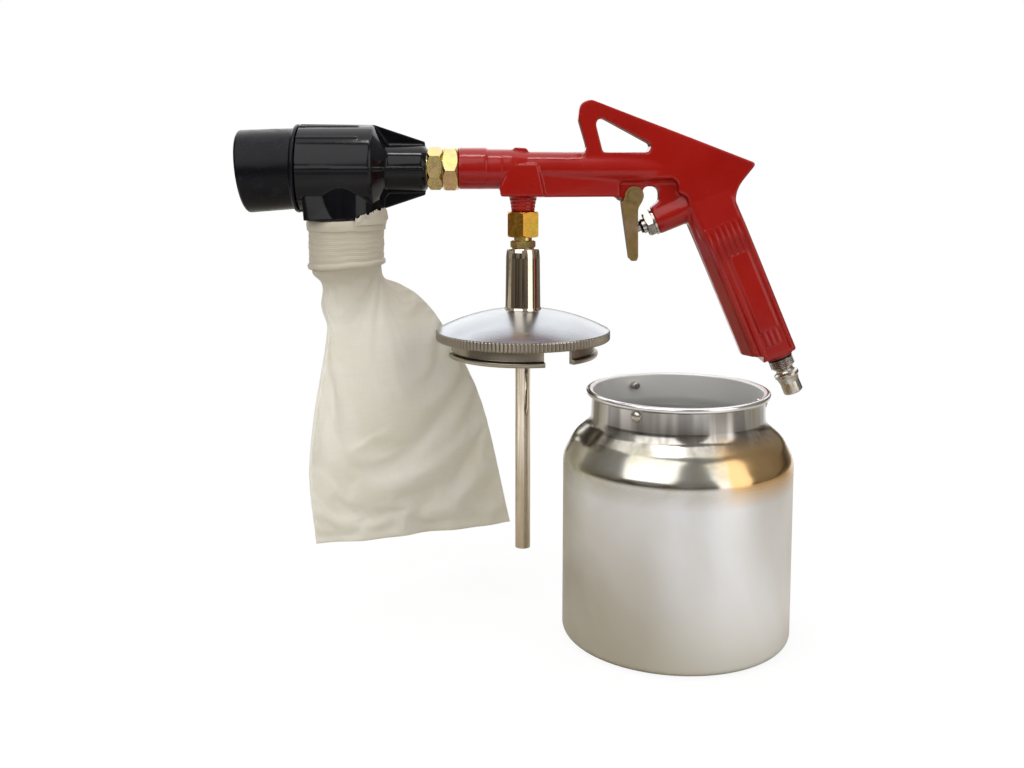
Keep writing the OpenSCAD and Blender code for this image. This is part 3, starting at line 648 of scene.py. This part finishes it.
def gun_body():
    s = Shape().add(*taken(gun_core()))
    # barrel's stepped sleeve and the heavier underside towards the boss
    s.lathe([(0, -33.5), (10.2, -33.5), (10.8, -32.9), (10.8, -19.3), (10.1, -18.4), (10.0, -6), (9.3, -1.5),
             (8.75, 2.2), (8.6, 20), (0, 20)], ALONG_X)
    s.rod(20.8, -33.0, -11, Matrix.Translation((0, 0, -0.35)) @ ALONG_X)
    # small lug over the suction boss
    lug = rounded([(-5.2, -6, 0), (-5.2, 10.9, 1.2), (2.2, 10.6, 2), (3.6, 5.0, 1), (3.6, -6, 0)])
    s.plate(lug, -3.2, 3.2)
    # neck of the suction boss and the rim of the valve boss
    s.lathe([(0, -15), (0, -22.4), (5.7, -22.4), (6.3, -21.6), (5.9, -20.8), (6.5, -19.9), (6.1, -19.0),
             (6.8, -18.1), (6.4, -17.2), (7.2, -16.3), (6.8, -15.4), (8.6, -13.8), (8.6, -10), (0, -10)])
    s.lathe([(0, 0), (6.6, 0), (7.25, 0.7), (7.25, 4), (0, 4)], VALVE)
    # long ribs, panel and short ribs of the grip
    s.loft([(-44, grip_section(0.985)), (-38, grip_section(0.985))], IN_GRIP)
    for x0, x1 in ((-8.4, -7.0), (-5.4, -3.4), (10.4, 12.0)):
        s.loft([(-42, bar(x0, x1, 0.99)), (22, bar(x0, x1, 0.985)), (31.5, bar(x0, x1, 0.88))], IN_GRIP)
    s.loft([(-28.5, bar(-1.6, 8.6, 0.975)), (14.2, bar(-1.6, 8.6, 0.975))], IN_GRIP)
    for i in range(4):
        x0 = -1.7 + 3.0 * i
        s.loft([(13.8, bar(x0, x0 + 1.4, 0.985)), (22, bar(x0, x0 + 1.4, 0.985)),
                (31.5, bar(x0, x0 + 1.4, 0.88))], IN_GRIP)
    for i in range(3):
        x0 = -0.6 + 3.0 * i
        s.loft([(-37, bar(x0, x0 + 1.5, 0.97)), (-28, bar(x0, x0 + 1.5, 0.975))], IN_GRIP)
    s.rod(15.4, 0, 14, PLUG)
    obj = s.object("gun_body")
    heel = Matrix.Translation((-14.4, 0, -37.3)) @ Matrix.Rotation(math.radians(19), 4, "Y")
    cast(obj, 0.36, 3)
    cut(obj, Shape().block((-8, -20, -14), (10.6, 20, 0), IN_GRIP @ heel))
    cast(obj, 0.36, 2, 0.5)
    # ways for air and abrasive, pin holes and the pockets for the trigger's cheeks
    pocket = [(50.1, -25.5), (63.5, -25.5), (63.5, -8.5), (50.1, -8.5)]
    for tool in (
        Shape().rod(12, -40, 6, ALONG_X), Shape().rod(8.1, 5, 26, ALONG_X), Shape().rod(5, 25, 80, ALONG_X),
        Shape().rod(7, -30, 0), Shape().rod(10.1, -1, 6, VALVE), Shape().rod(9.6, 5, 26, VALVE),
        Shape().rod(8, -50, 40, PLUG), Shape().rod(11, -6, 10, PLUG),
        Shape().plate(pocket, 4.5, 14), Shape().plate(pocket, -14, -4.5),
        Shape().rod(3, -20, 20, TRIGGER_PIVOT @ ALONG_Y), Shape().rod(2, -20, 20, STOP_PIN @ ALONG_Y),
    ):
        cut(obj, tool)
    smooth(obj, 60)
    return dress(obj, RED, ["gun_body"], "gun")


# ---------- shroud and mouth ----------
def shroud():
    s = Shape()
    s.lathe([(0, -128), (18.9, -128), (18.9, -115.5), (22.2, -115.5), (22.3, -78), (21.6, -76.8), (13.4, -70.9),
             (12.4, -69.6), (12.2, -52), (10.8, -49.9), (0, -49.9)], ALONG_X, 128)
    # ribs round the body, except where the spout is
    rib = [(-0.7, 20.5), (0.7, 20.5), (0.6, 22.9), (-0.6, 22.9)]
    rib_end = [(-0.7, 20.5), (0.7, 20.5), (0.6, 21.6), (-0.6, 21.6)]
    for k in range(12):
        if k not in (2, 3):
            turn = Matrix.Rotation(math.radians(30 * k + 15), 4, "X")
            s.loft([(-115.5, rib), (-85, rib), (-83, rib_end)], turn @ SIDEWAYS @ SWAP_XY)
    fin = [(-115.4, 18), (-115.4, 22.9), (-77, 22.5), (-51.0, 13.8), (-50.4, 9), (-77, 9)]
    side = [(-115.4, 18), (-115.4, 22.75), (-77, 22.6), (-70.9, 15.2), (-51.0, 13.0), (-50.4, 9), (-77, 9)]
    for turn, outline, half in ((0, fin, 1.3), (180, fin, 1.3), (90, side, 0.7), (-90, side, 0.7)):
        s.plate(outline, -half, half, Matrix.Rotation(math.radians(turn), 4, "X"))
    s.lathe([(0, -48), (17.0, -48), (17.0, -27.0), (19.8, -26.2), (20.2, -25.4), (20.2, -1), (0, -1)],
            SPOUT, 96)
    s.loft([(-26.2, rounded([(-111.8, -19.8, 3), (-86, -20.2, 3), (-86, 20.2, 3), (-111.8, 19.8, 3)])),
            (-9, rounded([(-113.2, -17.3, 2), (-86, -17.4, 2), (-86, 17.4, 2), (-113.2, 17.3, 2)]))])
    obj = cast(s.object("shroud"), 0.36, 4, 0.6)
    for d, z0, z1, place in ((34.2, -140, -80, ALONG_X), (40.0, -112, -79, ALONG_X),
                             (13.3, -82, -40, ALONG_X), (29.6, -60, 0, SPOUT)):
        cut(obj, Shape().rod(d, z0, z1, place, 96))
    smooth(obj, 50)
    return dress(obj, BLACK, ["shroud"], "shroud_body")


def mouth_tube():
    profile = rounded([
        (19.05, -145.6, 1.2), (21.5, -145.6, 1.7), (21.25, -130, 20), (20.9, -118.4, 0.5), (21.8, -118.2, 0.8),
        (22.9, -117.4, 1.1), (22.9, -115.9, 0.6), (19.05, -115.9, 0.3),
    ], 20)
    s = Shape().lathe(profile, ALONG_X, 144)
    # the cut end is aslant and the tube droops a little
    for v in s.verts:
        t = clamped((-116.5 - v.x) / 28)
        v.x += -0.108 * v.z * t * t
        v.z -= 1.5 * t
    # moulding scar on the near side
    s.lathe([(0, -0.4), (0.9, -0.4), (0.8, 0.25), (0, 0.35)],
            Matrix.Translation((-121.5, -20.2, 3.5)) @ ALONG_Y, 16)
    obj = smooth(wander(s.object("mouth_tube"), 30, 0.12), 40)
    return dress(obj, RUBBER, ["mouth_tube"], "mouth")


# ---------- lid ----------
def dome(r, sheet=0.0):
    """Height of the lid's dome at a radius."""
    rise, edge = 11.3, 45.5
    big = (edge * edge + rise * rise) / (2 * rise)
    return -84.7 + rise - big + math.sqrt((big - sheet) ** 2 - r * r)


def lid():
    outer = [(r, dome(r)) for r in [6.05 + 39.35 * k / 48 for k in range(49)]]
    inner = [(r, dome(r, 1.6)) for r in [6.05 + 29.5 * k / 24 for k in range(24, -1, -1)]]
    plate = Shape().lathe(outer + [(45.5, -85.6), (36.2, -85.6)] + inner, n=240).object("lid_plate")
    # the vent hole is cut before the band and the ring join the plate
    cut(plate, Shape().rod(2, -95, -70, Matrix.Translation((0, 22, 0)), 24))
    s = Shape().add(*taken(plate))
    teeth = 140

    def tooth(r, h, a):
        if r < 45:
            return r, h
        wave = 0.5 - 0.5 * math.cos(a * teeth)
        return r - 0.60 * (1 - wave) ** 1.2, h

    s.lathe([(44.4, -84.55), (45.4, -84.75), (46.0, -85.3), (46.0, -89.0), (45.4, -89.6), (44.4, -89.7),
             (44.4, -85.5)], n=teeth * 8, shape=tooth)
    ring = rounded([
        (35.4, -98.3, 0.6), (39.4, -98.3, 0.7), (39.6, -95.9, 0.7), (37.3, -95.6, 0.6), (37.0, -84.9, 0),
        (35.5, -84.9, 0)], 30)
    for k in range(3):
        s.lathe(ring, n=48, start=-49 + 120 * k, end=46 + 120 * k)
    obj = smooth(s.object("lid"), 32)
    return dress(obj, LID, ["lid"], "suction_lid")


def lid_sleeve():
    profile = rounded([
        (6.0, -74.5, 0), (9.7, -74.5, 0.3), (9.7, -73.7, 0.3), (9.2, -72.6, 1.0), (8.85, -46.5, 8),
        (8.6, -43.6, 0.6), (8.3, -42.2, 0.5), (8.0, -41.6, 0.3), (6.0, -41.6, 0)], 20)
    obj = smooth(Shape().lathe(profile, n=128).object("lid_sleeve"), 30)
    return dress(obj, CHROME, ["lid_sleeve"], "suction_lid")


# ---------- canister ----------
def canister():
    outer = rounded([
        (42.8, -120, 0), (43.2, -119.2, 0.4), (44.0, -120, 0.6), (55, -120, 4), (55, -32.0, 12), (50.0, -22.4, 14),
        (41.7, -15.6, 7), (41.3, -2.6, 0.6), (42.6, -3.2, 0.8), (43.9, -2.2, 1.1), (43.9, -0.7, 0.9),
        (42.4, 0.0, 1.2), (40.5, -0.9, 0.8), (40.7, -16.0, 8), (49.3, -23.0, 13), (54.1, -32.4, 11),
        (54.1, -118.1, 3.6), (43, -118.1, 1), (42.6, -117.5, 0)], 9)
    profile = [(0, -119.1)] + outer + [(0, -117.5)]
    obj = Shape().lathe(profile, CANISTER, 240).object("canister")
    # slight waves of the spinning
    wave = 0.00016
    for v in obj.data.vertices:
        p = v.co * 22
        lift = noise.noise_vector(Vector((p.x, p.y, p.z * 1.6)))
        v.co.x += lift.x * wave
        v.co.y += lift.y * wave
    for pin in PINS:
        cut(obj, Shape().rod(4, 30, 46, pin, 32), "EXACT")
    smooth(obj, 34)
    return dress(obj, SPUN, ["canister"], "abrasive_canister")


def rivets():
    s = Shape()
    profile = rounded([(0, 37.5, 0), (1.95, 37.5, 0.5), (1.95, 41.25, 0), (2.7, 41.35, 0.15), (2.5, 41.9, 0.5),
                       (1.3, 42.5, 1.3), (0, 42.7, 0)], 15)
    for pin in PINS:
        s.lathe(profile, pin, 40)
    return dress(smooth(s.object("rivets"), 35), NICKEL, ["bayonet_pins"], "abrasive_canister")


# ---------- trigger and air plug ----------
def trigger():
    s = Shape()
    pivot = TRIGGER_PIVOT
    blade = rounded([(-6.4, -3.4, 0.6), (-4.2, 0.6, 1), (4.4, 0.6, 1), (4.3, -2.6, 2.5), (2.0, -6.6, 5),
                     (2.3, -32.4, 1.8), (0.4, -34.2, 1.4), (-1.9, -32.8, 1.4)])
    ear = [(4.9 * math.cos(k * math.tau / 48), 4.9 * math.sin(k * math.tau / 48)) for k in range(48)]
    for y0, y1 in ((4.8, 6.0), (-6.0, -4.8)):
        s.plate(blade, y0, y1, pivot)
        s.plate(ear, y0, y1, pivot)
    s.plate([(-6.4, -3.6), (-5.2, -3.6), (-0.9, -33), (-1.2, -33.9), (-2.1, -33)], -5.8, 5.8, pivot)
    tip = rounded([(-1.6, -32.7, 0), (2.3, -32.7, 0.4), (1.4, -33.9, 0.5), (-1.4, -33.9, 0.5)])
    s.plate(tip, -5.8, 5.8, pivot)
    obj = cast(s.object("trigger"), 0.2, 3, 0.4)
    cut(obj, Shape().rod(3.1, -20, 20, pivot @ ALONG_Y, 48))
    smooth(obj, 50)
    return dress(obj, AGED_ZINC, ["trigger"], "trigger_body")


def air_plug():
    thread = []
    for i in range(5):
        thread += [(6.0, -5.8 + 1.0 * i), (6.55, -5.3 + 1.0 * i)]
    profile = rounded([
        (3.2, -21, 0.3), (4.6, -21, 0.5), (5.25, -20.2, 0.5), (5.15, -14.8, 1), (5.9, -11.8, 0.8), (6.5, -11.3, 0.3),
        (6.5, -9.8, 0.3), (5.2, -9.0, 0.5), (4.6, -8.0, 0.5), (4.7, -7.2, 0.4), (5.6, -6.4, 0.3),
        *[(r, z, 0.1) for r, z in thread], (5.5, -0.9, 0), (5.5, 9.5, 0), (3.2, 9.5, 0)], 30)
    obj = smooth(Shape().lathe(profile, PLUG, 72).object("air_plug"), 40)
    return dress(obj, NICKEL, ["air_plug"], "gun")


def valve_spring():
    """The coil behind the poppet, which shortens as the valve opens."""
    turns, wire, coil, z0, z1, sides = 5, 0.5, 3.2, 17.55, 25.45, 12
    steps = 32 * turns
    verts = []
    for i in range(steps + 1):
        a = math.tau * turns * i / steps
        for k in range(sides):
            b = math.tau * k / sides
            r = coil + wire * math.cos(b)
            verts.append((r * math.cos(a), r * math.sin(a), z0 + (z1 - z0) * i / steps + wire * math.sin(b)))
    faces = [list(range(sides)), [steps * sides + k for k in range(sides)][::-1]]
    for i in range(steps):
        for k in range(sides):
            j = (k + 1) % sides
            faces.append([i * sides + k, (i + 1) * sides + k, (i + 1) * sides + j, i * sides + j])
    obj = smooth(Shape().add(verts, faces, VALVE).object("valve_coil"), 60)
    dress(obj, NICKEL, ["valve_spring"], "gun")
    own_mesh(obj)


# ---------- bag ----------
YAW = SPOUT @ Matrix.Rotation(math.radians(32), 4, "Z")
LEFT = [(0, -17.8, -50), (0.05, -18.0, -54.5), (0.10, -13.0, -60), (0.17, -14.0, -71), (0.26, -11.2, -84),
        (0.55, -20.0, -131), (0.76, -23.0, -162), (1, -20.0, -198)]
RIGHT = [(0, 17.8, -50), (0.08, 20.0, -57.5), (0.20, 30.0, -62.0), (0.32, 42.5, -70), (0.46, 56.0, -86),
         (0.72, 81, -132), (1, 101, -207)]


def bag_point(t, a):
    """A point of the bag's skin: t from the neck to the hem, a round the mouth."""
    lx, lz = blend_curve(LEFT, t)
    rx, rz = blend_curve(RIGHT, t)
    half = (rx - lx) / 2
    side = math.cos(a)
    swell = 17.8 * (1 - t) ** 7 + 5.5 * math.sin(math.pi * min(1, t * 1.02)) ** 0.8 + 0.5
    flat = abs(math.sin(a)) ** (1.0 - 0.35 * min(1, 3 * t)) * math.copysign(1, math.sin(a))
    folds = math.exp(-6 * t) * 0.7 * math.sin(11 * a) * min(1, 12 * t)
    waves = 1.6 * t * t * (math.sin(5.5 * side + 1) + 0.5 * math.sin(13 * side)) * (1 - side**4)
    z = (lz + rz) / 2 + side * (rz - lz) / 2
    x = (lx + rx) / 2 + side * (half + folds)
    return (x, swell * flat + folds + waves, z - 1.2 * t**6 * (1 - side * side))


def bag():
    rows, cols = 84, 150
    verts = []
    for i in range(rows + 1):
        t = i / rows
        verts += [bag_point(t, math.tau * (k + 0.5) / cols) for k in range(cols)]
    faces = []
    for i in range(rows):
        for k in range(cols):
            j = (k + 1) % cols
            faces.append([i * cols + k, (i + 1) * cols + k, (i + 1) * cols + j, i * cols + j])
    last = rows * cols
    for k in range(cols // 2 - 1):
        faces.append([last + k, last + cols - 1 - k, last + cols - 2 - k, last + k + 1])
    obj = Shape().add(verts, faces, YAW).object("bag")
    # the wound elastic holds the neck, and the stiff side seams and hem keep the cut
    group = obj.vertex_groups.new(name="held")
    for i in range(rows + 1):
        for k in range(cols):
            seam = abs(math.cos(math.tau * (k + 0.5) / cols)) > 0.9935
            neck = clamped(1.6 - i / 4)
            group.add([i * cols + k], max(neck, 0.9 if seam or i >= rows - 1 else 0.0), "REPLACE")
    m = obj.modifiers.new("cloth", "CLOTH")
    c = m.settings
    c.quality = 6
    c.mass = 0.12
    c.tension_stiffness = 12
    c.compression_stiffness = 12
    c.shear_stiffness = 4
    c.bending_stiffness = 0.3
    c.vertex_group_mass = "held"
    c.shrink_min = -0.012
    c.shrink_max = -0.012
    c.effector_weights.gravity = 0.12
    m.collision_settings.use_self_collision = False
    m.point_cache.frame_start = 1
    m.point_cache.frame_end = 40
    for f in range(1, 36):
        bpy.context.scene.frame_set(f)
    baked(obj)
    bpy.context.scene.frame_set(1)
    m = obj.modifiers.new("fine", "SUBSURF")
    m.levels = 1
    m.render_levels = 1
    baked(obj)
    smooth(obj, 80)
    obj.vertex_groups.clear()
    dress(obj, BAG_CLOTH, ["bag"], "collection_bag")
    return obj


def cuff():
    """The wound elastic, the folded band above it and the roll below."""
    s = Shape()
    turns = 18
    outer = []
    for i in range(turns * 6 + 1):
        z = -49.6 + 17.8 * i / (turns * 6)
        outer.append((19.5 + 0.10 * abs(math.sin(math.pi * i / 6)) + 0.07 * math.sin(i * 0.37), z))
    s.lathe([(17.9, -49.6)] + outer + [(17.9, -31.8)], n=180)
    angles = [k * math.tau / 20 for k in range(20)]
    s.lathe([(18.9 + 1.5 * math.cos(a), -49.6 + 1.7 * math.sin(a)) for a in angles], n=180)
    band = rounded(
        [(17.5, -32.2, 0.5), (20.4, -32.2, 0.9), (20.7, -29, 3), (20.2, -26.6, 0.8), (17.5, -26.4, 0.4)], 20)
    s.lathe(band, n=180)
    s.verts = [SPOUT @ v for v in s.verts]
    for v in s.verts:
        a = math.atan2(v.y, v.x - SPOUT_X)
        w = noise.noise(Vector((3 * math.cos(a), 3 * math.sin(a), v.z * 0.22)))
        out = Vector((math.cos(a), math.sin(a), 0))
        if math.hypot(v.y, v.x - SPOUT_X) > 18.5:
            v += out * (0.30 * w)
        low = clamped((-30 - v.z) / 18)
        v.z += 0.5 * noise.noise(Vector((2.2 * math.cos(a), 2.2 * math.sin(a), 7))) + 1.3 * low * math.cos(a)
    obj = smooth(s.object("cuff"), 50)
    return dress(obj, CUFF_CLOTH, ["bag_cuff"], "collection_bag")


def frayed_corner():
    """The torn corner of cloth that stands above the band, near the shroud's underside."""
    rows, cols = 12, 70
    verts = []
    for i in range(rows + 1):
        for k in range(cols + 1):
            u, t = k / cols, i / rows
            a = math.radians(-70 + 64 * u)
            rag = noise.noise(Vector((u * 9, 2, 0))) + 0.8 * noise.noise(Vector((u * 40, 5, 0)))
            thread = 0.9 * abs(noise.noise(Vector((u * 90, 8, 0))))
            top = -25.5 + 6.4 * u**0.7 * (1 - u**9) + 1.5 * rag + thread
            r = 21.2 + 0.7 * t * t + 0.9 * noise.noise(Vector((u * 6, t * 2, 4))) * t
            verts.append((SPOUT_X + r * math.cos(a), r * math.sin(a), -28.5 + (top + 28.5) * t))
    wide = cols + 1
    faces = [[i * wide + k, i * wide + k + 1, (i + 1) * wide + k + 1, (i + 1) * wide + k]
             for i in range(rows) for k in range(cols)]
    obj = Shape().add(verts, faces).object("frayed_corner")
    m = obj.modifiers.new("cloth", "SOLIDIFY")
    m.thickness = 0.0003
    baked(obj)
    smooth(obj, 60)
    obj.data.materials.append(BAG_CLOTH)
    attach(obj, "collection_bag")
    return obj


gun_body()
shroud()
mouth_tube()
lid()
lid_sleeve()
canister()
rivets()
trigger()
air_plug()
valve_spring()
bag()
cuff()
frayed_corner()

# ---------- pieces carried over from the CAD ----------
CARRIED = {
    "air_jet": (BRASS, 0.1), "blast_nozzle": (STEEL, 0.2), "nozzle_seal": (RUBBER, 0.1),
    "muzzle_adapter": (ZINC, 0.25), "lock_nut": (ZINC, 0.25), "trigger_pin": (AGED_ZINC, 0.4),
    "pin_clip": (NICKEL, 0.1), "stop_pin": (NICKEL, 0.3), "valve_washer": (NICKEL, 0.2),
    "valve_nut": (NICKEL, 0.2), "valve_stem": (NICKEL, 0.1), "stem_wiper": (RUBBER, 0.15),
    "valve_seat": (NYLON, 0.1), "plug_seal": (RUBBER, 0.2), "union_nut": (GOLD_ZINC, 0.25),
    "lid_nipple": (ZINC, 0.15), "lid_gasket": (RUBBER, 0.2), "lid_nut": (NICKEL, 0.2),
    "pickup_tube": (CHROME, 0.15),
}
for name, (mat, edge) in CARRIED.items():
    node = frame["nodes"][name]
    node.data.materials.clear()
    node.data.materials.append(mat)
    bevel(node, edge)


# ---------- floor and light ----------
def floor():
    f = Finish("floor_paper")
    centre = row((0, 0, CAN_BASE))
    place = f.node("ShaderNodeMapping", {"Vector": f.coords, "Location": (-centre.x, -centre.y, 0)})
    away = f.node("ShaderNodeVectorMath", {0: place.outputs[0]}, operation="LENGTH").outputs["Value"]
    seen = f.node("ShaderNodeLightPath").outputs["Is Camera Ray"]
    patches = f.levels(f.noise(3.2, 1, 0.4, stretch=(1, 0.6, 1)), 0.40, 0.60)
    room = f.mix(patches, (0.92, 0.92, 0.92), (0.46, 0.42, 0.34))
    f.set(Base_Color=f.mix(seen, room, (0.95, 0.95, 0.95)), Roughness=0.9)
    out = f.tree.nodes["Material Output"]
    clear = f.node("ShaderNodeBsdfTransparent")
    paper = f.node("ShaderNodeEmission", {"Color": (1, 1, 1, 1), "Strength": 1.0})
    share = f.math("MULTIPLY", seen, f.levels(away, 0.25, 0.5, 0.90, 1.0))
    lit = f.node("ShaderNodeMixShader", {0: share, 1: f.shader.outputs[0], 2: paper.outputs[0]})
    fade = f.levels(away, 0.5, 1.3)
    both = f.node("ShaderNodeMixShader", {0: fade, 1: lit.outputs[0], 2: clear.outputs[0]})
    f.tree.links.new(both.outputs[0], out.inputs[0])
    mesh = bpy.data.meshes.new("floor")
    reach, z = 3, centre.z - 0.0004
    mesh.from_pydata([(-reach, -reach, z), (reach, -reach, z), (reach, reach, z), (-reach, reach, z)],
                     [], [(0, 1, 2, 3)])
    mesh.materials.append(f.mat)
    obj = bpy.data.objects.new("floor", mesh)
    bpy.context.collection.objects.link(obj)


def softbox(name, centre, target, size, power, colour=(1, 1, 1)):
    data = bpy.data.lights.new(name, "AREA")
    data.shape = "RECTANGLE"
    data.size, data.size_y = size
    data.energy = power
    data.color = colour
    obj = bpy.data.objects.new(name, data)
    obj.location = centre
    obj.rotation_euler = (Vector(target) - Vector(centre)).to_track_quat("-Z", "Y").to_euler()
    bpy.context.collection.objects.link(obj)
    obj.visible_camera = False


def world():
    w = bpy.data.worlds.new("studio")
    bpy.context.scene.world = w
    w.use_nodes = True
    t = w.node_tree
    t.nodes.clear()
    out = t.nodes.new("ShaderNodeOutputWorld")
    seen = t.nodes.new("ShaderNodeBackground")
    seen.inputs[0].default_value = (1, 1, 1, 1)
    seen.inputs[1].default_value = 1.0
    room = t.nodes.new("ShaderNodeBackground")
    room.inputs[1].default_value = 0.42
    coords = t.nodes.new("ShaderNodeTexCoord")
    ramp = t.nodes.new("ShaderNodeValToRGB")
    sep = t.nodes.new("ShaderNodeSeparateXYZ")
    grain = t.nodes.new("ShaderNodeTexNoise")
    grain.inputs["Scale"].default_value = 1.7
    grain.inputs["Detail"].default_value = 2.0
    add = t.nodes.new("ShaderNodeMath")
    add.operation = "MULTIPLY_ADD"
    add.inputs[1].default_value = 0.9
    t.links.new(coords.outputs["Generated"], sep.inputs[0])
    t.links.new(coords.outputs["Generated"], grain.inputs["Vector"])
    t.links.new(grain.outputs["Fac"], add.inputs[0])
    t.links.new(sep.outputs[2], add.inputs[2])
    t.links.new(add.outputs[0], ramp.inputs[0])
    stops = [(0.0, (0.55, 0.50, 0.44)), (0.30, (0.42, 0.36, 0.29)), (0.42, (0.10, 0.085, 0.07)),
             (0.52, (0.66, 0.60, 0.50)), (0.70, (0.62, 0.60, 0.56)), (1.0, (0.80, 0.79, 0.77))]
    elements = ramp.color_ramp.elements
    while len(elements) > 1:
        elements.remove(elements[-1])
    elements[0].position, elements[0].color = stops[0][0], (*stops[0][1], 1)
    for position, colour in stops[1:]:
        elements.new(position).color = (*colour, 1)
    t.links.new(ramp.outputs[0], room.inputs[0])
    path = t.nodes.new("ShaderNodeLightPath")
    mix = t.nodes.new("ShaderNodeMixShader")
    t.links.new(path.outputs["Is Camera Ray"], mix.inputs[0])
    t.links.new(room.outputs[0], mix.inputs[1])
    t.links.new(seen.outputs[0], mix.inputs[2])
    t.links.new(mix.outputs[0], out.inputs[0])


floor()
softbox("key", (-0.75, -0.95, 0.95), (-0.1, 0, 0), (1.4, 1.4), 12.5)
softbox("lamp", (-0.16, -0.22, 0.95), (-0.15, 0, 0.05), (0.30, 0.10), 1.6)
softbox("fill", (0.85, -0.8, 0.35), (-0.05, 0, -0.05), (0.8, 1.4), 6, (1.0, 0.97, 0.93))
softbox("top", (-0.1, 0.30, 1.1), (-0.1, 0, 0), (1.6, 1.4), 9)
softbox("back", (-0.2, 0.95, 0.45), (-0.1, 0, 0), (1.6, 0.8), 6)
world()

bpy.context.scene.view_settings.view_transform = "Standard"
